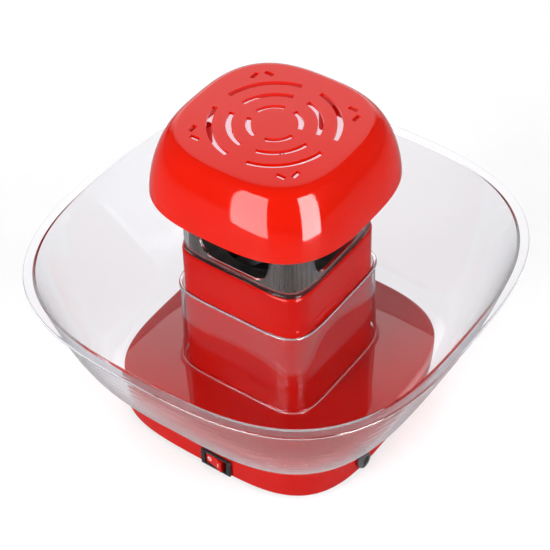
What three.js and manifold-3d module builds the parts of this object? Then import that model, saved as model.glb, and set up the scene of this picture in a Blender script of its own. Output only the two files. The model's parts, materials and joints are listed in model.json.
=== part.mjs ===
// Hot-air popcorn maker: a square red base and tower, a clear bowl that sleeves over the tower,
// and a lift-off lid made of a clear outlet chimney under a domed, slotted top cover.
// Millimetres, +Z up. The origin is on the floor under the centre of the base. The switch faces
// -Y and the cord gland faces +X. Rounded squares are superellipses, |x|^n + |y|^n = half^n.
import * as THREE from 'three';
import { mergeVertices } from 'three/addons/utils/BufferGeometryUtils.js';
import Module from 'manifold-3d';

const wasm = await Module();
wasm.setup();

// ---------------------------------------------------------------- driving dimensions
const GAP = 0.3;                       // clearance between pieces that touch
const WALL = 2.2;                      // moulded housing wall
const SEGMENTS = 32;                   // facets round a housing
const ROUND_SEGMENTS = 24;             // facets round a turned metal part

const FOOT = { radius: 9, height: 4, offset: 56 };
const BASE = { half: 98.9, exponent: 3.7, top: 39, rounding: 5, holeRadius: 47 };
const TOWER = {
  half: 52.5, exponent: 6.5, top: 149.4, rounding: 2, holeRadius: 41.5, collarRadius: 44.5,
  legRadius: 6, legTop: 66,
};
const BOWL = {
  floorHalf: 101, rimHalf: 153.2, outerHalf: 159.1, top: 138.1, wall: 2, flange: 2,
  floorExponent: 3.3, rimExponent: 2.95,
};
const SLEEVE = { half: 55.7, footHalf: 57.6, exponent: 5.6, top: 115.7, wall: 1.8 };
const COVER = {
  rimHalf: 76.2, plateauHalf: 58.5, rim: 201, top: 247.7, wall: 2.5,
  curve: 1.78, rimExponent: 3.02, plateauExponent: 2.77,
};
const CHIMNEY = {
  half: 51.2, wall: 2, flange: 2, footHalf: 51.9, holeRadius: 42, flangeHalf: 61,
  flangeExponent: 4, top: 203.6,
};
const OUTLET = { bottomHalf: 14, shoulderHalf: 29, topHalf: 34, bottom: 155.5, shoulder: 172, top: 198 };
const LINER = { wall: 0.8, skirtRadius: 40.6, skirtDepth: 5.4, outletMargin: 1.2 };
const DEFLECTOR = { half: 73, exponent: 3, thickness: 2, ventCircle: 20 };
const CHAMBER = { radius: 40, wall: 1, bottom: 96, rim: 139.2, flangeRadius: 43.6, slots: 12 };
const GASKET = { inner: 41.3, outer: 43.6, thickness: 1.5 };
const SHIELD = { radius: 45, wall: 0.6 };
const DUCT = { radius: 46, wall: 4, top: 76, floor: 45, floorThickness: 2, inletRadius: 36, hubRadius: 15.5 };
const IMPELLER = { radius: 37, bottom: 50, top: 66, hubRadius: 8, blades: 9 };
const MOTOR = {
  radius: 15, bottom: 10.7, shaftRadius: 1.15, coreLow: 18, coreHigh: 36, screwOffset: 9.5,
};
const HEATER = { radius: 33, wire: 1.1, low: 79.5, rise: 10.5, turns: 3, frameHeight: 16 };
const SWITCH = {
  x: 14, z: 12.6, bezelHalfX: 12.75, bezelHalfZ: 7.4, front: 101.2, pivotY: -95, tilt: 12,
  pinRadius: 0.9, bodyX: 20.4, bodyZ: 12.6,
};
const GLAND = {
  y: -39.5, z: 13.2, flangeRadius: 6.8, flange: 3, neckRadius: 4.6, boreRadius: 3.6,
  innerRadius: 6, innerLow: 91.5, innerHigh: 94.6,
};
const TERMINAL = { x: 73, y: -36, pitch: 8 };
const LEAD_RADIUS = 1.2;
const WIRE_HOLES = [[28, -43.5], [43.5, -28]];   // the two heater leads pass up through the base deck
const TOWER_SCREW = 41.5;              // distance of the tower screws from each centre plane
const BASE_SCREW = 72;                 // distance of the bottom cover screws
const CHAMBER_SCREW = 37;              // distance of the chamber screws
const COVER_SCREW = 57;                // distance of the top cover screws from the axis

const deckBottom = BASE.top - WALL;
const coverPlate = { bottom: FOOT.height, top: FOOT.height + 2 };
const towerDeckBottom = TOWER.top - WALL;
const chimneyBottom = TOWER.top + GAP;
const deflectorBottom = CHIMNEY.top + GAP;

// ---------------------------------------------------------------- finishes
const finish = (color, roughness, metalness = 0) =>
  new THREE.MeshStandardMaterial({ color, roughness, metalness });
const clear = (color, opacity) =>
  new THREE.MeshStandardMaterial({ color, roughness: 0.08, transparent: true, opacity });
const RED = finish(0xd91a0c, 0.18);
const BLACK = finish(0x151516, 0.45);
const WHITE = finish(0xe9e6df, 0.5);
const CLEAR = clear(0xe8eaee, 0.3);
const STEEL = finish(0x8b8c8f, 0.35, 0.9);
const DARK_STEEL = finish(0x4a4b4d, 0.35, 0.9);
const ALUMINIUM = finish(0xc4c6c8, 0.3, 0.9);
const BRASS = finish(0xb9964a, 0.35, 0.9);
const RUBBER = finish(0x1b1b1c, 0.85);
const MICA = finish(0xb89d70, 0.7);
const SILICONE = finish(0xb9563f, 0.7);
const BOARD = finish(0x2f6a3a, 0.6);
const WIRE_BROWN = finish(0x5b3420, 0.6);
const WIRE_BLUE = finish(0x254f9c, 0.6);
const WIRE_RED = finish(0xa01f1b, 0.6);

// ---------------------------------------------------------------- shape helpers

// Keeps only positions, joins shared vertices and drops the empty triangles at a lathe's poles.
function weld(geometry) {
  geometry.deleteAttribute('normal');
  geometry.deleteAttribute('uv');
  const merged = mergeVertices(geometry);
  const index = merged.index.array;
  const kept = [];
  for (let i = 0; i < index.length; i += 3) {
    const [a, b, c] = [index[i], index[i + 1], index[i + 2]];
    if (a !== b && b !== c && c !== a) kept.push(a, b, c);
  }
  merged.setIndex(kept);
  return merged;
}

function solid(geometry) {
  const welded = weld(geometry);
  const vertProperties = new Float32Array(welded.attributes.position.array);
  const triVerts = new Uint32Array(welded.index.array);
  return new wasm.Manifold(new wasm.Mesh({ numProp: 3, vertProperties, triVerts }));
}

function node(name, shape, material) {
  const { vertProperties, triVerts } = shape.getMesh();
  const geometry = new THREE.BufferGeometry();
  geometry.setAttribute('position', new THREE.BufferAttribute(new Float32Array(vertProperties), 3));
  geometry.setIndex(new THREE.BufferAttribute(new Uint32Array(triVerts), 1));
  geometry.computeVertexNormals();
  const mesh = new THREE.Mesh(geometry, material);
  mesh.name = name;
  return mesh;
}

const join = (first, ...others) => others.reduce((sum, other) => sum.add(other), first);
const cut = (first, ...others) => others.reduce((rest, other) => rest.subtract(other), first);

// Moves a lathe coordinate from a circle of this radius onto the superellipse.
function bulge(value, half, exponent) {
  const unit = half ? Math.abs(value) / half : 0;
  return unit < 1e-6 ? 0 : Math.sign(value) * half * unit ** (2 / exponent);
}

// A turned or rounded-square body from [half width, height, exponent] points. A missing exponent
// means a circle. The outline runs counter-clockwise and closes on itself or on the axis.
function turned(profile, segments = SEGMENTS) {
  const points = profile.map(([half, z]) => new THREE.Vector2(half, z));
  const geometry = new THREE.LatheGeometry(points, segments);
  geometry.rotateX(Math.PI / 2);
  const position = geometry.attributes.position;
  for (let i = 0; i < position.count; i++) {
    const [half, , exponent = 2] = profile[i % profile.length];
    position.setXY(
      i,
      bulge(position.getX(i), half, exponent),
      bulge(position.getY(i), half, exponent),
    );
  }
  return solid(geometry);
}

function ring(inner, outer, low, high, segments = ROUND_SEGMENTS) {
  return turned([[outer, low], [outer, high], [inner, high], [inner, low], [outer, low]], segments);
}

function rod(radius, low, high, x = 0, y = 0, segments = 12) {
  const profile = [[0, low], [radius, low], [radius, high], [0, high]];
  return turned(profile, segments).translate([x, y, 0]);
}

function block(sizeX, sizeY, sizeZ, x, y, z) {
  const geometry = new THREE.BoxGeometry(sizeX, sizeY, sizeZ);
  geometry.translate(x, y, z);
  return solid(geometry);
}

function plate(shape, low, high, curveSegments = 5) {
  const options = { depth: high - low, bevelEnabled: false, curveSegments };
  const geometry = new THREE.ExtrudeGeometry(shape, options);
  geometry.translate(0, 0, low);
  return solid(geometry);
}

function tube(curve, radius, steps, sides = 8) {
  const section = new THREE.Shape();
  for (let i = 0; i < sides; i++) {
    const angle = (2 * Math.PI * i) / sides;
    const point = [radius * Math.cos(angle), radius * Math.sin(angle)];
    if (i === 0) section.moveTo(...point);
    else section.lineTo(...point);
  }
  return solid(new THREE.ExtrudeGeometry(section, { steps, extrudePath: curve }));
}

// A screw that points up: pan head from low to neck, shank from neck to tip.
function screw(x, y, low, neck, tip, headRadius = 3, shankRadius = 1.35) {
  const profile = [
    [0, low], [headRadius, low], [headRadius, neck], [shankRadius, neck], [shankRadius, tip], [0, tip],
  ];
  return turned(profile, 6).translate([x, y, 0]);
}

const corners = (offset) => [[1, 1], [-1, 1], [-1, -1], [1, -1]].map(([sx, sy]) => [sx * offset, sy * offset]);
const sides = (offset) => [[offset, 0], [0, offset], [-offset, 0], [0, -offset]];

// ---------------------------------------------------------------- base

function baseHousing() {
  const { half, exponent, top, rounding, holeRadius } = BASE;
  const bottom = FOOT.height;
  const skin = turned([
    [half - WALL, bottom, exponent], [half, bottom, exponent], [half, top - rounding, exponent],
    [half - 0.3 * rounding, top - 0.3 * rounding, exponent], [half - rounding, top, exponent],
    [holeRadius, top], [holeRadius, deckBottom], [half - rounding - 0.6, deckBottom, exponent],
    [half - WALL, top - rounding - 0.6, exponent], [half - WALL, bottom, exponent],
  ]);
  const bosses = corners(BASE_SCREW).map(([x, y]) => rod(4, coverPlate.top + GAP, deckBottom + 1, x, y));
  const pilots = corners(BASE_SCREW).map(([x, y]) => rod(1.7, coverPlate.top, 22, x, y, 8));
  const towerHoles = corners(TOWER_SCREW).map(([x, y]) => rod(2, deckBottom - 1, top + 1, x, y, 8));
  const wireHoles = WIRE_HOLES.map(([x, y]) => rod(3, deckBottom - 1, top + 1, x, y, 8));
  const switchHole = block(SWITCH.bodyX + 0.8, 12, SWITCH.bodyZ + 0.8, SWITCH.x, -half, SWITCH.z);
  const glandHole = acrossX(rod(GLAND.neckRadius + 0.4, half - 10, half + 10, 0, 0, 16), GLAND);
  return cut(join(skin, ...bosses), ...pilots, ...towerHoles, ...wireHoles, switchHole, glandHole);
}

// Turns a body made along +Z to lie along +X at the given y and z.
function acrossX(shape, { y, z }) {
  return shape.rotate([0, 90, 0]).translate([0, y, z]);
}

function bottomCover() {
  const half = BASE.half - WALL - GAP;
  const { bottom, top } = coverPlate;
  const sheet = turned([[0, bottom], [half, bottom, BASE.exponent], [half, top, BASE.exponent], [0, top]]);
  const posts = [[-78, 20], [-46, 20]].map(([x, y]) => rod(2.6, top - 1, 11.7, x, y, 8));
  const slots = [-4, -3, -2, -1, 0, 1, 2, 3, 4].map((k) => {
    const reach = Math.sqrt(36 ** 2 - (8 * k) ** 2);
    return block(3.6, 2 * reach, 8, 8 * k, 0, bottom);
  });
  const footHoles = corners(FOOT.offset).map(([x, y]) => rod(3.2, bottom - 1, top + 1, x, y, 8));
  const screwHoles = corners(BASE_SCREW).map(([x, y]) => rod(1.9, bottom - 1, top + 1, x, y, 8));
  return cut(join(sheet, ...posts), ...slots, ...footHoles, ...screwHoles);
}

function foot(x, y) {
  const { radius, height } = FOOT;
  const seat = height - GAP;
  const profile = [
    [0, 0], [radius - 1, 0], [radius, 1], [radius, seat], [2.8, seat], [2.8, 6.4], [3.8, 6.4], [2, 9], [0, 9],
  ];
  return turned(profile, 10).translate([x, y, 0]);
}

// ---------------------------------------------------------------- tower

function towerShell() {
  const { half, exponent, top, rounding, holeRadius, collarRadius, legRadius, legTop } = TOWER;
  const low = BASE.top + GAP;
  const inner = half - WALL;
  const collarBottom = CHAMBER.rim + GASKET.thickness + 2 * GAP;
  const skin = turned([
    [inner, low, exponent], [half, low, exponent], [half, top - rounding, exponent],
    [half - 0.3 * rounding, top - 0.3 * rounding, exponent], [half - rounding, top, exponent],
    [holeRadius, top], [holeRadius, collarBottom], [collarRadius, collarBottom],
    [collarRadius, towerDeckBottom],
    [inner, towerDeckBottom, exponent], [inner, low, exponent],
  ]);
  const legs = corners(TOWER_SCREW).map(([x, y]) => rod(legRadius, DUCT.floor + GAP, legTop, x, y));
  const pilots = corners(TOWER_SCREW).map(([x, y]) => rod(1.7, DUCT.floor, legTop - 6, x, y, 8));
  const studs = chamberScrewPlaces.map(([x, y]) => rod(3.6, CHAMBER.rim + GAP, top - 1, x, y));
  const studHoles = chamberScrewPlaces.map(([x, y]) => rod(1.5, CHAMBER.rim, 146, x, y, 8));
  return cut(join(skin, ...legs, ...studs), ...pilots, ...studHoles);
}

const chamberScrewPlaces = [[CHAMBER_SCREW, CHAMBER_SCREW], [-CHAMBER_SCREW, -CHAMBER_SCREW]];

function poppingChamber() {
  const { radius, wall, bottom, rim, flangeRadius, slots } = CHAMBER;
  const inside = radius - wall;
  const cup = turned([
    [0, bottom], [30, bottom], [37.5, bottom + 4], [radius, bottom + 11], [radius, rim - 1.2],
    [flangeRadius, rim - 1.2], [flangeRadius, rim], [inside, rim], [inside, bottom + 11.3],
    [36.8, bottom + 4.8], [29.6, bottom + wall], [0, bottom + wall],
  ], ROUND_SEGMENTS);
  const ears = chamberScrewPlaces.map(([x, y]) => rod(4.6, rim - 1.2, rim, x, y));
  const arms = [30, -30].map((at) => block(9, 14, 1.2, 0, 0, rim - 0.6)
    .rotate([0, 0, -45]).translate([Math.sign(at) * 33, Math.sign(at) * 33, 0]));
  const ledge = cut(join(...ears, ...arms), rod(inside + 0.5, rim - 3, rim + 3, 0, 0, ROUND_SEGMENTS));
  const earHoles = chamberScrewPlaces.map(([x, y]) => rod(1.8, rim - 3, rim + 3, x, y, 8));
  const louvres = Array.from({ length: slots }, (_, k) => block(8, 1.6, 9, 0, 0, 0)
    .rotate([30, 0, 0]).translate([radius, 0, bottom + 18]).rotate([0, 0, (360 * k) / slots]));
  return cut(join(cup, ledge), ...earHoles, ...louvres);
}

function chamberGasket() {
  const low = CHAMBER.rim + GAP;
  return ring(GASKET.inner, GASKET.outer, low, low + GASKET.thickness);
}

function heatShield() {
  const { radius, wall } = SHIELD;
  const skin = ring(radius - wall, radius, DUCT.top + GAP, CHAMBER.rim - 1.2 - GAP);
  const leadHoles = leadPlaces.map(({ angle, z }) => acrossX(rod(2.4, 30, 60, 0, 0, 8), { y: 0, z })
    .rotate([0, 0, angle]));
  return cut(skin, ...leadHoles);
}

// ---------------------------------------------------------------- heater

// The height each heater lead turns inwards at, and its angle round the axis.
const leadPlaces = WIRE_HOLES.map(([x, y], i) => (
  { z: [84, 88][i], angle: THREE.MathUtils.radToDeg(Math.atan2(y, x)) }
));

class CoilCurve extends THREE.Curve {
  getPoint(t) {
    const { radius, low, rise, turns } = HEATER;
    const angle = 2 * Math.PI * (turns * t + 0.5);
    return new THREE.Vector3(radius * Math.cos(angle), radius * Math.sin(angle), low + rise * t);
  }
}

const heaterCoil = () => tube(new CoilCurve(), HEATER.wire, 42, 6);

function heaterFrame() {
  const low = DUCT.top + GAP;
  const reach = SHIELD.radius - SHIELD.wall - GAP;
  const { frameHeight, wire } = HEATER;
  const middle = low + frameHeight / 2;
  const one = block(2 * reach, 1, frameHeight, 0, 0, middle);
  const other = block(1, 2 * reach, frameHeight, 0, 0, middle);
  return cut(join(one, other), tube(new CoilCurve(), wire + 0.5, 42, 6));
}

function thermostat() {
  const low = DUCT.top + GAP + HEATER.frameHeight + GAP;
  return turned([[0, low], [8, low], [8, low + 1.6], [6, low + 1.6], [6, low + 2.9], [0, low + 2.9]], 16);
}

const thermalFuse = () => block(12, 3.4, 3.4, 14, 4, 84);

// ---------------------------------------------------------------- fan

function fanDuct() {
  const { radius, wall, top, floor, floorThickness, inletRadius, hubRadius } = DUCT;
  const low = BASE.top + GAP;
  const inside = radius - wall;
  const barrel = turned([
    [inside, low], [radius, low], [radius, top], [inside, top], [inside, floor + floorThickness],
    [inletRadius, floor + floorThickness], [inletRadius, floor], [inside, floor], [inside, low],
  ], ROUND_SEGMENTS);
  const hub = rod(hubRadius, floor, floor + floorThickness, 0, 0, 16);
  const spokes = [0, 90].map((angle) => block(2 * inletRadius + 2, 4, floorThickness, 0, 0, floor + 1)
    .rotate([0, 0, angle]));
  const ears = corners(TOWER_SCREW).map(([x, y]) => rod(3.6, low, floor, x, y, 10));
  const arms = [45, 135, 225, 315].map((angle) => block(14, 6, floor - low, radius + 6, 0, (floor + low) / 2)
    .rotate([0, 0, angle]));
  const earHoles = corners(TOWER_SCREW).map(([x, y]) => rod(2, low - 1, floor + 1, x, y, 8));
  const bearingHole = rod(4, floor - 1, floor + 3, 0, 0, 16);
  const motorHoles = motorScrewPlaces.map((x) => rod(1.4, floor - 1, floor + 3, x, 0, 8));
  return cut(join(barrel, hub, ...spokes, ...ears, ...arms), ...earHoles, bearingHole, ...motorHoles);
}

function fanImpeller() {
  const { radius, bottom, top, hubRadius, blades } = IMPELLER;
  const disc = rod(radius, bottom, bottom + 1.5, 0, 0, ROUND_SEGMENTS);
  const hub = rod(hubRadius, bottom, top - 4, 0, 0, 16);
  const outline = new THREE.Shape();
  outline.moveTo(hubRadius - 1, -0.8);
  outline.quadraticCurveTo(radius * 0.6, -0.8, radius, 8);
  outline.lineTo(radius - 0.8, 9.4);
  outline.quadraticCurveTo(radius * 0.6, 0.8, hubRadius - 1, 0.8);
  outline.closePath();
  const vanes = Array.from({ length: blades }, (_, k) => plate(outline, bottom + 1, top, 3)
    .rotate([0, 0, (360 * k) / blades]));
  const bore = rod(MOTOR.shaftRadius + GAP, bottom - 1, top - 7, 0, 0, 12);
  return cut(join(disc, hub, ...vanes), bore);
}

const motorTop = DUCT.floor - GAP;
const motorScrewPlaces = [MOTOR.screwOffset, -MOTOR.screwOffset];

function motorCan() {
  const { radius, bottom } = MOTOR;
  const skin = turned([
    [radius - 1, bottom], [radius, bottom], [radius, motorTop], [3.5, motorTop],
    [3.5, motorTop - 1.2], [radius - 1, motorTop - 1.2], [radius - 1, bottom],
  ], 16);
  const screwHoles = motorScrewPlaces.map((x) => rod(1.4, motorTop - 3, motorTop + 1, x, 0, 8));
  return cut(skin, ...screwHoles);
}

const motorEndCap = () => ring(MOTOR.shaftRadius + GAP, MOTOR.radius - 1 - GAP, 9.2, 13, 16);
const motorMagnet = () => ring(10.6, 13.6, MOTOR.coreLow, MOTOR.coreHigh, 16);
const motorArmature = () => ring(MOTOR.shaftRadius + GAP, 9.8, MOTOR.coreLow, MOTOR.coreHigh, 16);
const motorBearing = () => ring(MOTOR.shaftRadius + GAP, 3.2, 42, 48, 12);
const motorShaft = () => rod(MOTOR.shaftRadius, 9.5, IMPELLER.top - 7.4, 0, 0, 10);

// A motor screw points down through the duct's hub into the end of the can.
function motorScrew(x) {
  const head = DUCT.floor + DUCT.floorThickness + GAP;
  return turned([[0, 40], [1.1, 40], [1.1, head], [2.2, head], [2.2, head + 1.5], [0, head + 1.5]], 8)
    .translate([x, 0, 0]);
}

// ---------------------------------------------------------------- electrics

const rectifierBoard = () => block(44, 30, 1.6, -62, 20, 12.8);
const bridgeRectifier = () => block(15, 4.2, 12, -66, 28, 19.9);
const filterCapacitor = () => rod(5, 13.9, 28, -50, 12, 16);
function terminalBlock() {
  const { x, y, pitch } = TERMINAL;
  const body = block(18, 26, 14, x, y, coverPlate.top + GAP + 7);
  const wells = [-pitch, 0, pitch].map((dy) => rod(2.2, 15, 25, x, y + dy, 8));
  return cut(body, ...wells);
}

function switchHousing() {
  const { x, z, bezelHalfX, bezelHalfZ, front, pivotY, pinRadius, bodyX, bodyZ } = SWITCH;
  const bezel = block(2 * bezelHalfX, 2, 2 * bezelHalfZ, x, -front + 1, z);
  const body = block(bodyX, 19, bodyZ, x, -90, z);
  const well = block(bodyX - 1.6, 20, bodyZ - 1.2, x, -93.5, z);
  const pinHole = rod(pinRadius + GAP, z - 10, z + 10, x, pivotY, 12);
  const slots = [5, -5].map((dx) => block(1.4, 12, 5.4, x + dx, -82, z));
  return cut(join(bezel, body), well, pinHole, ...slots);
}

// The rocker is drawn level, then tipped so that its left end is in and its right end is out.
function switchRocker() {
  const outline = new THREE.Shape();
  outline.moveTo(-7.6, -6.8);
  outline.quadraticCurveTo(0, -5.6, 7.6, -6.8);
  outline.lineTo(7.6, -2);
  outline.lineTo(4, 3);
  outline.lineTo(-4, 3);
  outline.lineTo(-7.6, -2);
  outline.closePath();
  const cap = plate(outline, -5.3, 5.3, 5);
  const { x, z, pivotY, pinRadius, tilt } = SWITCH;
  return cut(cap, rod(pinRadius + GAP, -8, 8)).rotate([0, 0, -tilt]).translate([x, pivotY, z]);
}

const switchPivot = () => rod(SWITCH.pinRadius, SWITCH.z - 6, SWITCH.z + 6, SWITCH.x, SWITCH.pivotY);
const switchTerminal = (dx) => block(0.8, 13, 4.8, SWITCH.x + dx, -77.5, SWITCH.z);

function cordGland() {
  const { flangeRadius, flange, neckRadius, boreRadius, innerRadius, innerLow, innerHigh } = GLAND;
  const outside = BASE.half;
  const body = turned([
    [boreRadius, innerLow], [innerRadius, innerLow], [innerRadius, innerHigh], [neckRadius, innerHigh],
    [neckRadius, outside], [flangeRadius, outside], [flangeRadius - 0.8, outside + flange],
    [boreRadius, outside + flange], [boreRadius, innerLow],
  ], 14);
  return acrossX(body, GLAND);
}

// Insulated leads, whole along their real routes. Each stops short of its terminal.
function lead(steps, ...points) {
  const curve = new THREE.CatmullRomCurve3(points.map((point) => new THREE.Vector3(...point)));
  return tube(curve, LEAD_RADIUS, steps, 6);
}

const liveLead = () => lead(12,
  [63.2, -40, 16], [56, -44, 14.5], [50, -62, 12], [38, -72, 12], [26, -72.5, 12.5], [20.8, -72.5, 12.6]);
const switchedLead = () => lead(16,
  [7.6, -72.5, 12.6], [3, -69, 13], [6, -58, 15], [18, -48, 18], [27, -44, 26],
  [28, -43.5, 40], [28, -43.5, 60], [28, -43.5, 76], [25.5, -39.6, 83.6], [22, -34.2, 84]);
const neutralLead = () => lead(14,
  [63.2, -32, 16], [54, -29, 18], [45.5, -28, 26], [43.5, -28, 40], [43.5, -28, 60],
  [43.5, -28, 80], [40, -25.7, 87.6], [35, -22.5, 88]);
const boardLead = () => lead(14,
  [63.2, -27, 12], [50, -22, 10], [30, -25, 9], [0, -27, 9], [-25, -22, 9], [-36, -6, 11], [-37, 10, 13.5]);
const motorLead = () => lead(10,
  [-39.5, 22, 14], [-33, 22, 11], [-25, 15, 8.6], [-16, 9, 7.9], [-5, 4, 7.6]);

// ---------------------------------------------------------------- bowl

// The wall is a parabola from the flat floor up to the rim; u runs from 0 at the floor to 1.
function bowlWallPoint(u, inset) {
  const { floorHalf, rimHalf, top, flange, floorExponent, rimExponent } = BOWL;
  const low = BASE.top + GAP;
  const width = rimHalf - floorHalf;
  const height = top - flange - low;
  const slope = new THREE.Vector2(width, 2 * height * u).normalize();
  return [
    floorHalf + width * u - inset * slope.y,
    low + height * u * u + inset * slope.x,
    THREE.MathUtils.lerp(floorExponent, rimExponent, u),
  ];
}

function bowl() {
  const { outerHalf, top, wall, flange, rimExponent } = BOWL;
  const low = BASE.top + GAP;
  const steps = [0, 1 / 6, 2 / 6, 3 / 6, 4 / 6, 5 / 6, 1];
  const outside = steps.map((u) => bowlWallPoint(u, 0));
  const inside = steps.slice(0, -1).reverse().map((u) => bowlWallPoint(u, wall));
  const throat = SLEEVE.half - SLEEVE.wall;
  const throatExponent = TOWER.exponent - 0.3;
  return turned([
    ...outside,
    [outerHalf, top - flange, rimExponent], [outerHalf, top, rimExponent],
    [BOWL.rimHalf - wall, top, rimExponent],
    ...inside,
    [SLEEVE.footHalf, low + wall, SLEEVE.exponent], [SLEEVE.half, SLEEVE.top, SLEEVE.exponent],
    [throat, SLEEVE.top, throatExponent], [SLEEVE.footHalf - SLEEVE.wall, low, throatExponent],
    outside[0],
  ]);
}

// ---------------------------------------------------------------- lid

// Outlets of one width through all four walls, from a U-shaped outline drawn across X and Z.
function outletCutters(grow) {
  const { bottomHalf, shoulderHalf, topHalf, bottom, shoulder, top } = OUTLET;
  const outline = new THREE.Shape();
  outline.moveTo(bottomHalf, bottom - grow);
  outline.quadraticCurveTo(shoulderHalf - 3 + grow, bottom - grow, shoulderHalf + grow, shoulder);
  outline.lineTo(topHalf + grow, top);
  outline.lineTo(-topHalf - grow, top);
  outline.lineTo(-shoulderHalf - grow, shoulder);
  outline.quadraticCurveTo(-shoulderHalf + 3 - grow, bottom - grow, -bottomHalf, bottom - grow);
  outline.closePath();
  const acrossY = plate(outline, -70, 70, 5).rotate([90, 0, 0]);
  return [acrossY, acrossY.rotate([0, 0, 90])];
}

function chimneyShell() {
  const { half, wall, flange, footHalf, holeRadius, flangeHalf, flangeExponent, top } = CHIMNEY;
  const exponent = TOWER.exponent;
  const low = chimneyBottom;
  const skin = turned([
    [holeRadius, low], [footHalf, low, exponent], [footHalf, low + 1.4, exponent],
    [half, low + flange, exponent], [half, top - flange, exponent],
    [flangeHalf, top - flange, flangeExponent], [flangeHalf, top, flangeExponent],
    [half - wall, top, exponent], [half - wall, low + flange, exponent],
    [holeRadius, low + flange], [holeRadius, low],
  ]);
  const screwHoles = sides(COVER_SCREW).map(([x, y]) => rod(1.8, top - 5, top + 1, x, y, 8));
  return cut(skin, ...outletCutters(0), ...screwHoles);
}

function chimneyLiner() {
  const { wall, skirtRadius, skirtDepth, outletMargin } = LINER;
  const half = CHIMNEY.half - CHIMNEY.wall - GAP;
  const exponent = TOWER.exponent;
  const low = chimneyBottom + CHIMNEY.flange + GAP;
  const skirt = chimneyBottom - skirtDepth;
  const skin = turned([
    [skirtRadius, skirt], [skirtRadius, low], [half, low, exponent],
    [half, CHIMNEY.top - GAP, exponent], [half - wall, CHIMNEY.top - GAP, exponent],
    [half - wall, low + wall, exponent], [skirtRadius - wall, low + wall], [skirtRadius - wall, skirt],
    [skirtRadius, skirt],
  ]);
  return cut(skin, ...outletCutters(outletMargin));
}

function innerDeflector() {
  const { half, exponent, thickness, ventCircle } = DEFLECTOR;
  const low = deflectorBottom;
  const high = low + thickness;
  const sheet = turned([[0, low], [half, low, exponent], [half, high, exponent], [0, high]]);
  const screwHoles = sides(COVER_SCREW).map(([x, y]) => rod(1.8, low - 1, high + 1, x, y, 8));
  const vents = Array.from({ length: 8 }, (_, k) => rod(2.6, low - 1, high + 1, ventCircle, 0, 8)
    .rotate([0, 0, 45 * k + 22.5]));
  return cut(sheet, ...screwHoles, ...vents);
}

// The cover's side curve, from the rim at angle 0 to the plateau at 90 degrees.
function coverPoint(angle, inset) {
  const { rimHalf, plateauHalf, rim, top, curve, rimExponent, plateauExponent } = COVER;
  const out = Math.max(Math.cos(angle), 0) ** (2 / curve);
  const up = Math.sin(angle) ** (2 / curve);
  return [
    THREE.MathUtils.lerp(plateauHalf - 0.8 * inset, rimHalf - inset, out),
    THREE.MathUtils.lerp(rim, top - inset, up),
    THREE.MathUtils.lerp(rimExponent, plateauExponent, up),
  ];
}

// An arc-shaped slot between two angles in degrees.
function arcSlot(outerRadius, width, from, to) {
  const [start, end] = [from, to].map(THREE.MathUtils.degToRad);
  const shape = new THREE.Shape();
  shape.absarc(0, 0, outerRadius, start, end, false);
  shape.absarc(0, 0, outerRadius - width, end, start, true);
  shape.closePath();
  return shape;
}

function grilleSlots() {
  const low = COVER.top - 12;
  const high = COVER.top + 2;
  const rings = [[45, 3.8, 10], [32.2, 3.7, 11], [19.3, 3.6, 13]];
  const arcs = rings.flatMap(([radius, width, bridge]) => [0, 90, 180, 270].map((quarter) => (
    plate(arcSlot(radius, width, quarter + bridge, quarter + 90 - bridge), low, high, 4)
  )));
  const dashes = [[1, 1], [-1, 1], [-1, -1], [1, -1]].flatMap(([sx, sy]) => [
    block(7, 2.6, 14, 34.5 * sx, 41 * sy, COVER.top),
    block(2.6, 7, 14, 41.5 * sx, 34 * sy, COVER.top),
  ]);
  return [...arcs, ...dashes];
}

function topCover() {
  const { wall } = COVER;
  const angles = [0, 20, 40, 60, 78, 90].map(THREE.MathUtils.degToRad);
  const outside = angles.map((angle) => coverPoint(angle, 0));
  const inside = angles.toReversed().map((angle) => coverPoint(angle, wall));
  const dome = turned([[0, COVER.top - wall], ...inside, ...outside, [0, COVER.top]]);
  const bossBottom = deflectorBottom + DEFLECTOR.thickness + GAP;
  const bosses = sides(COVER_SCREW).map(([x, y]) => rod(3.4, bossBottom, COVER.top - 2, x, y, 10));
  const pilots = sides(COVER_SCREW).map(([x, y]) => rod(1.7, bossBottom - 1, 220, x, y, 8));
  return cut(join(dome, ...bosses), ...grilleSlots(), ...pilots);
}

// ---------------------------------------------------------------- assembly

const root = new THREE.Group();
const fan = new THREE.Group();
const lid = new THREE.Group();

root.add(node('base_housing', baseHousing(), RED));
root.add(node('bottom_cover', bottomCover(), BLACK));
root.add(node('tower_shell', towerShell(), RED));
corners(FOOT.offset).forEach(([x, y], i) => root.add(node(`foot_${i + 1}`, foot(x, y), RUBBER)));
corners(BASE_SCREW).forEach(([x, y], i) => {
  root.add(node(`bottom_screw_${i + 1}`, screw(x, y, 2.1, coverPlate.bottom - GAP, 20), STEEL));
});
corners(TOWER_SCREW).forEach(([x, y], i) => {
  root.add(node(`tower_screw_${i + 1}`, screw(x, y, 34, deckBottom - GAP, 56), STEEL));
});
chamberScrewPlaces.forEach(([x, y], i) => {
  const neck = CHAMBER.rim - 1.2 - GAP;
  root.add(node(`chamber_screw_${i + 1}`, screw(x, y, neck - 1.8, neck, 145.4, 2.8, 1.2), STEEL));
});
root.add(node('popping_chamber', poppingChamber(), ALUMINIUM));
root.add(node('chamber_gasket', chamberGasket(), SILICONE));
root.add(node('heat_shield', heatShield(), STEEL));
root.add(node('heater_frame', heaterFrame(), MICA));
root.add(node('heater_coil', heaterCoil(), STEEL));
root.add(node('thermostat', thermostat(), ALUMINIUM));
root.add(node('thermal_fuse', thermalFuse(), STEEL));
root.add(node('fan_duct', fanDuct(), BLACK));
root.add(node('motor_can', motorCan(), STEEL));
root.add(node('motor_end_cap', motorEndCap(), WHITE));
root.add(node('motor_magnet', motorMagnet(), DARK_STEEL));
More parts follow.
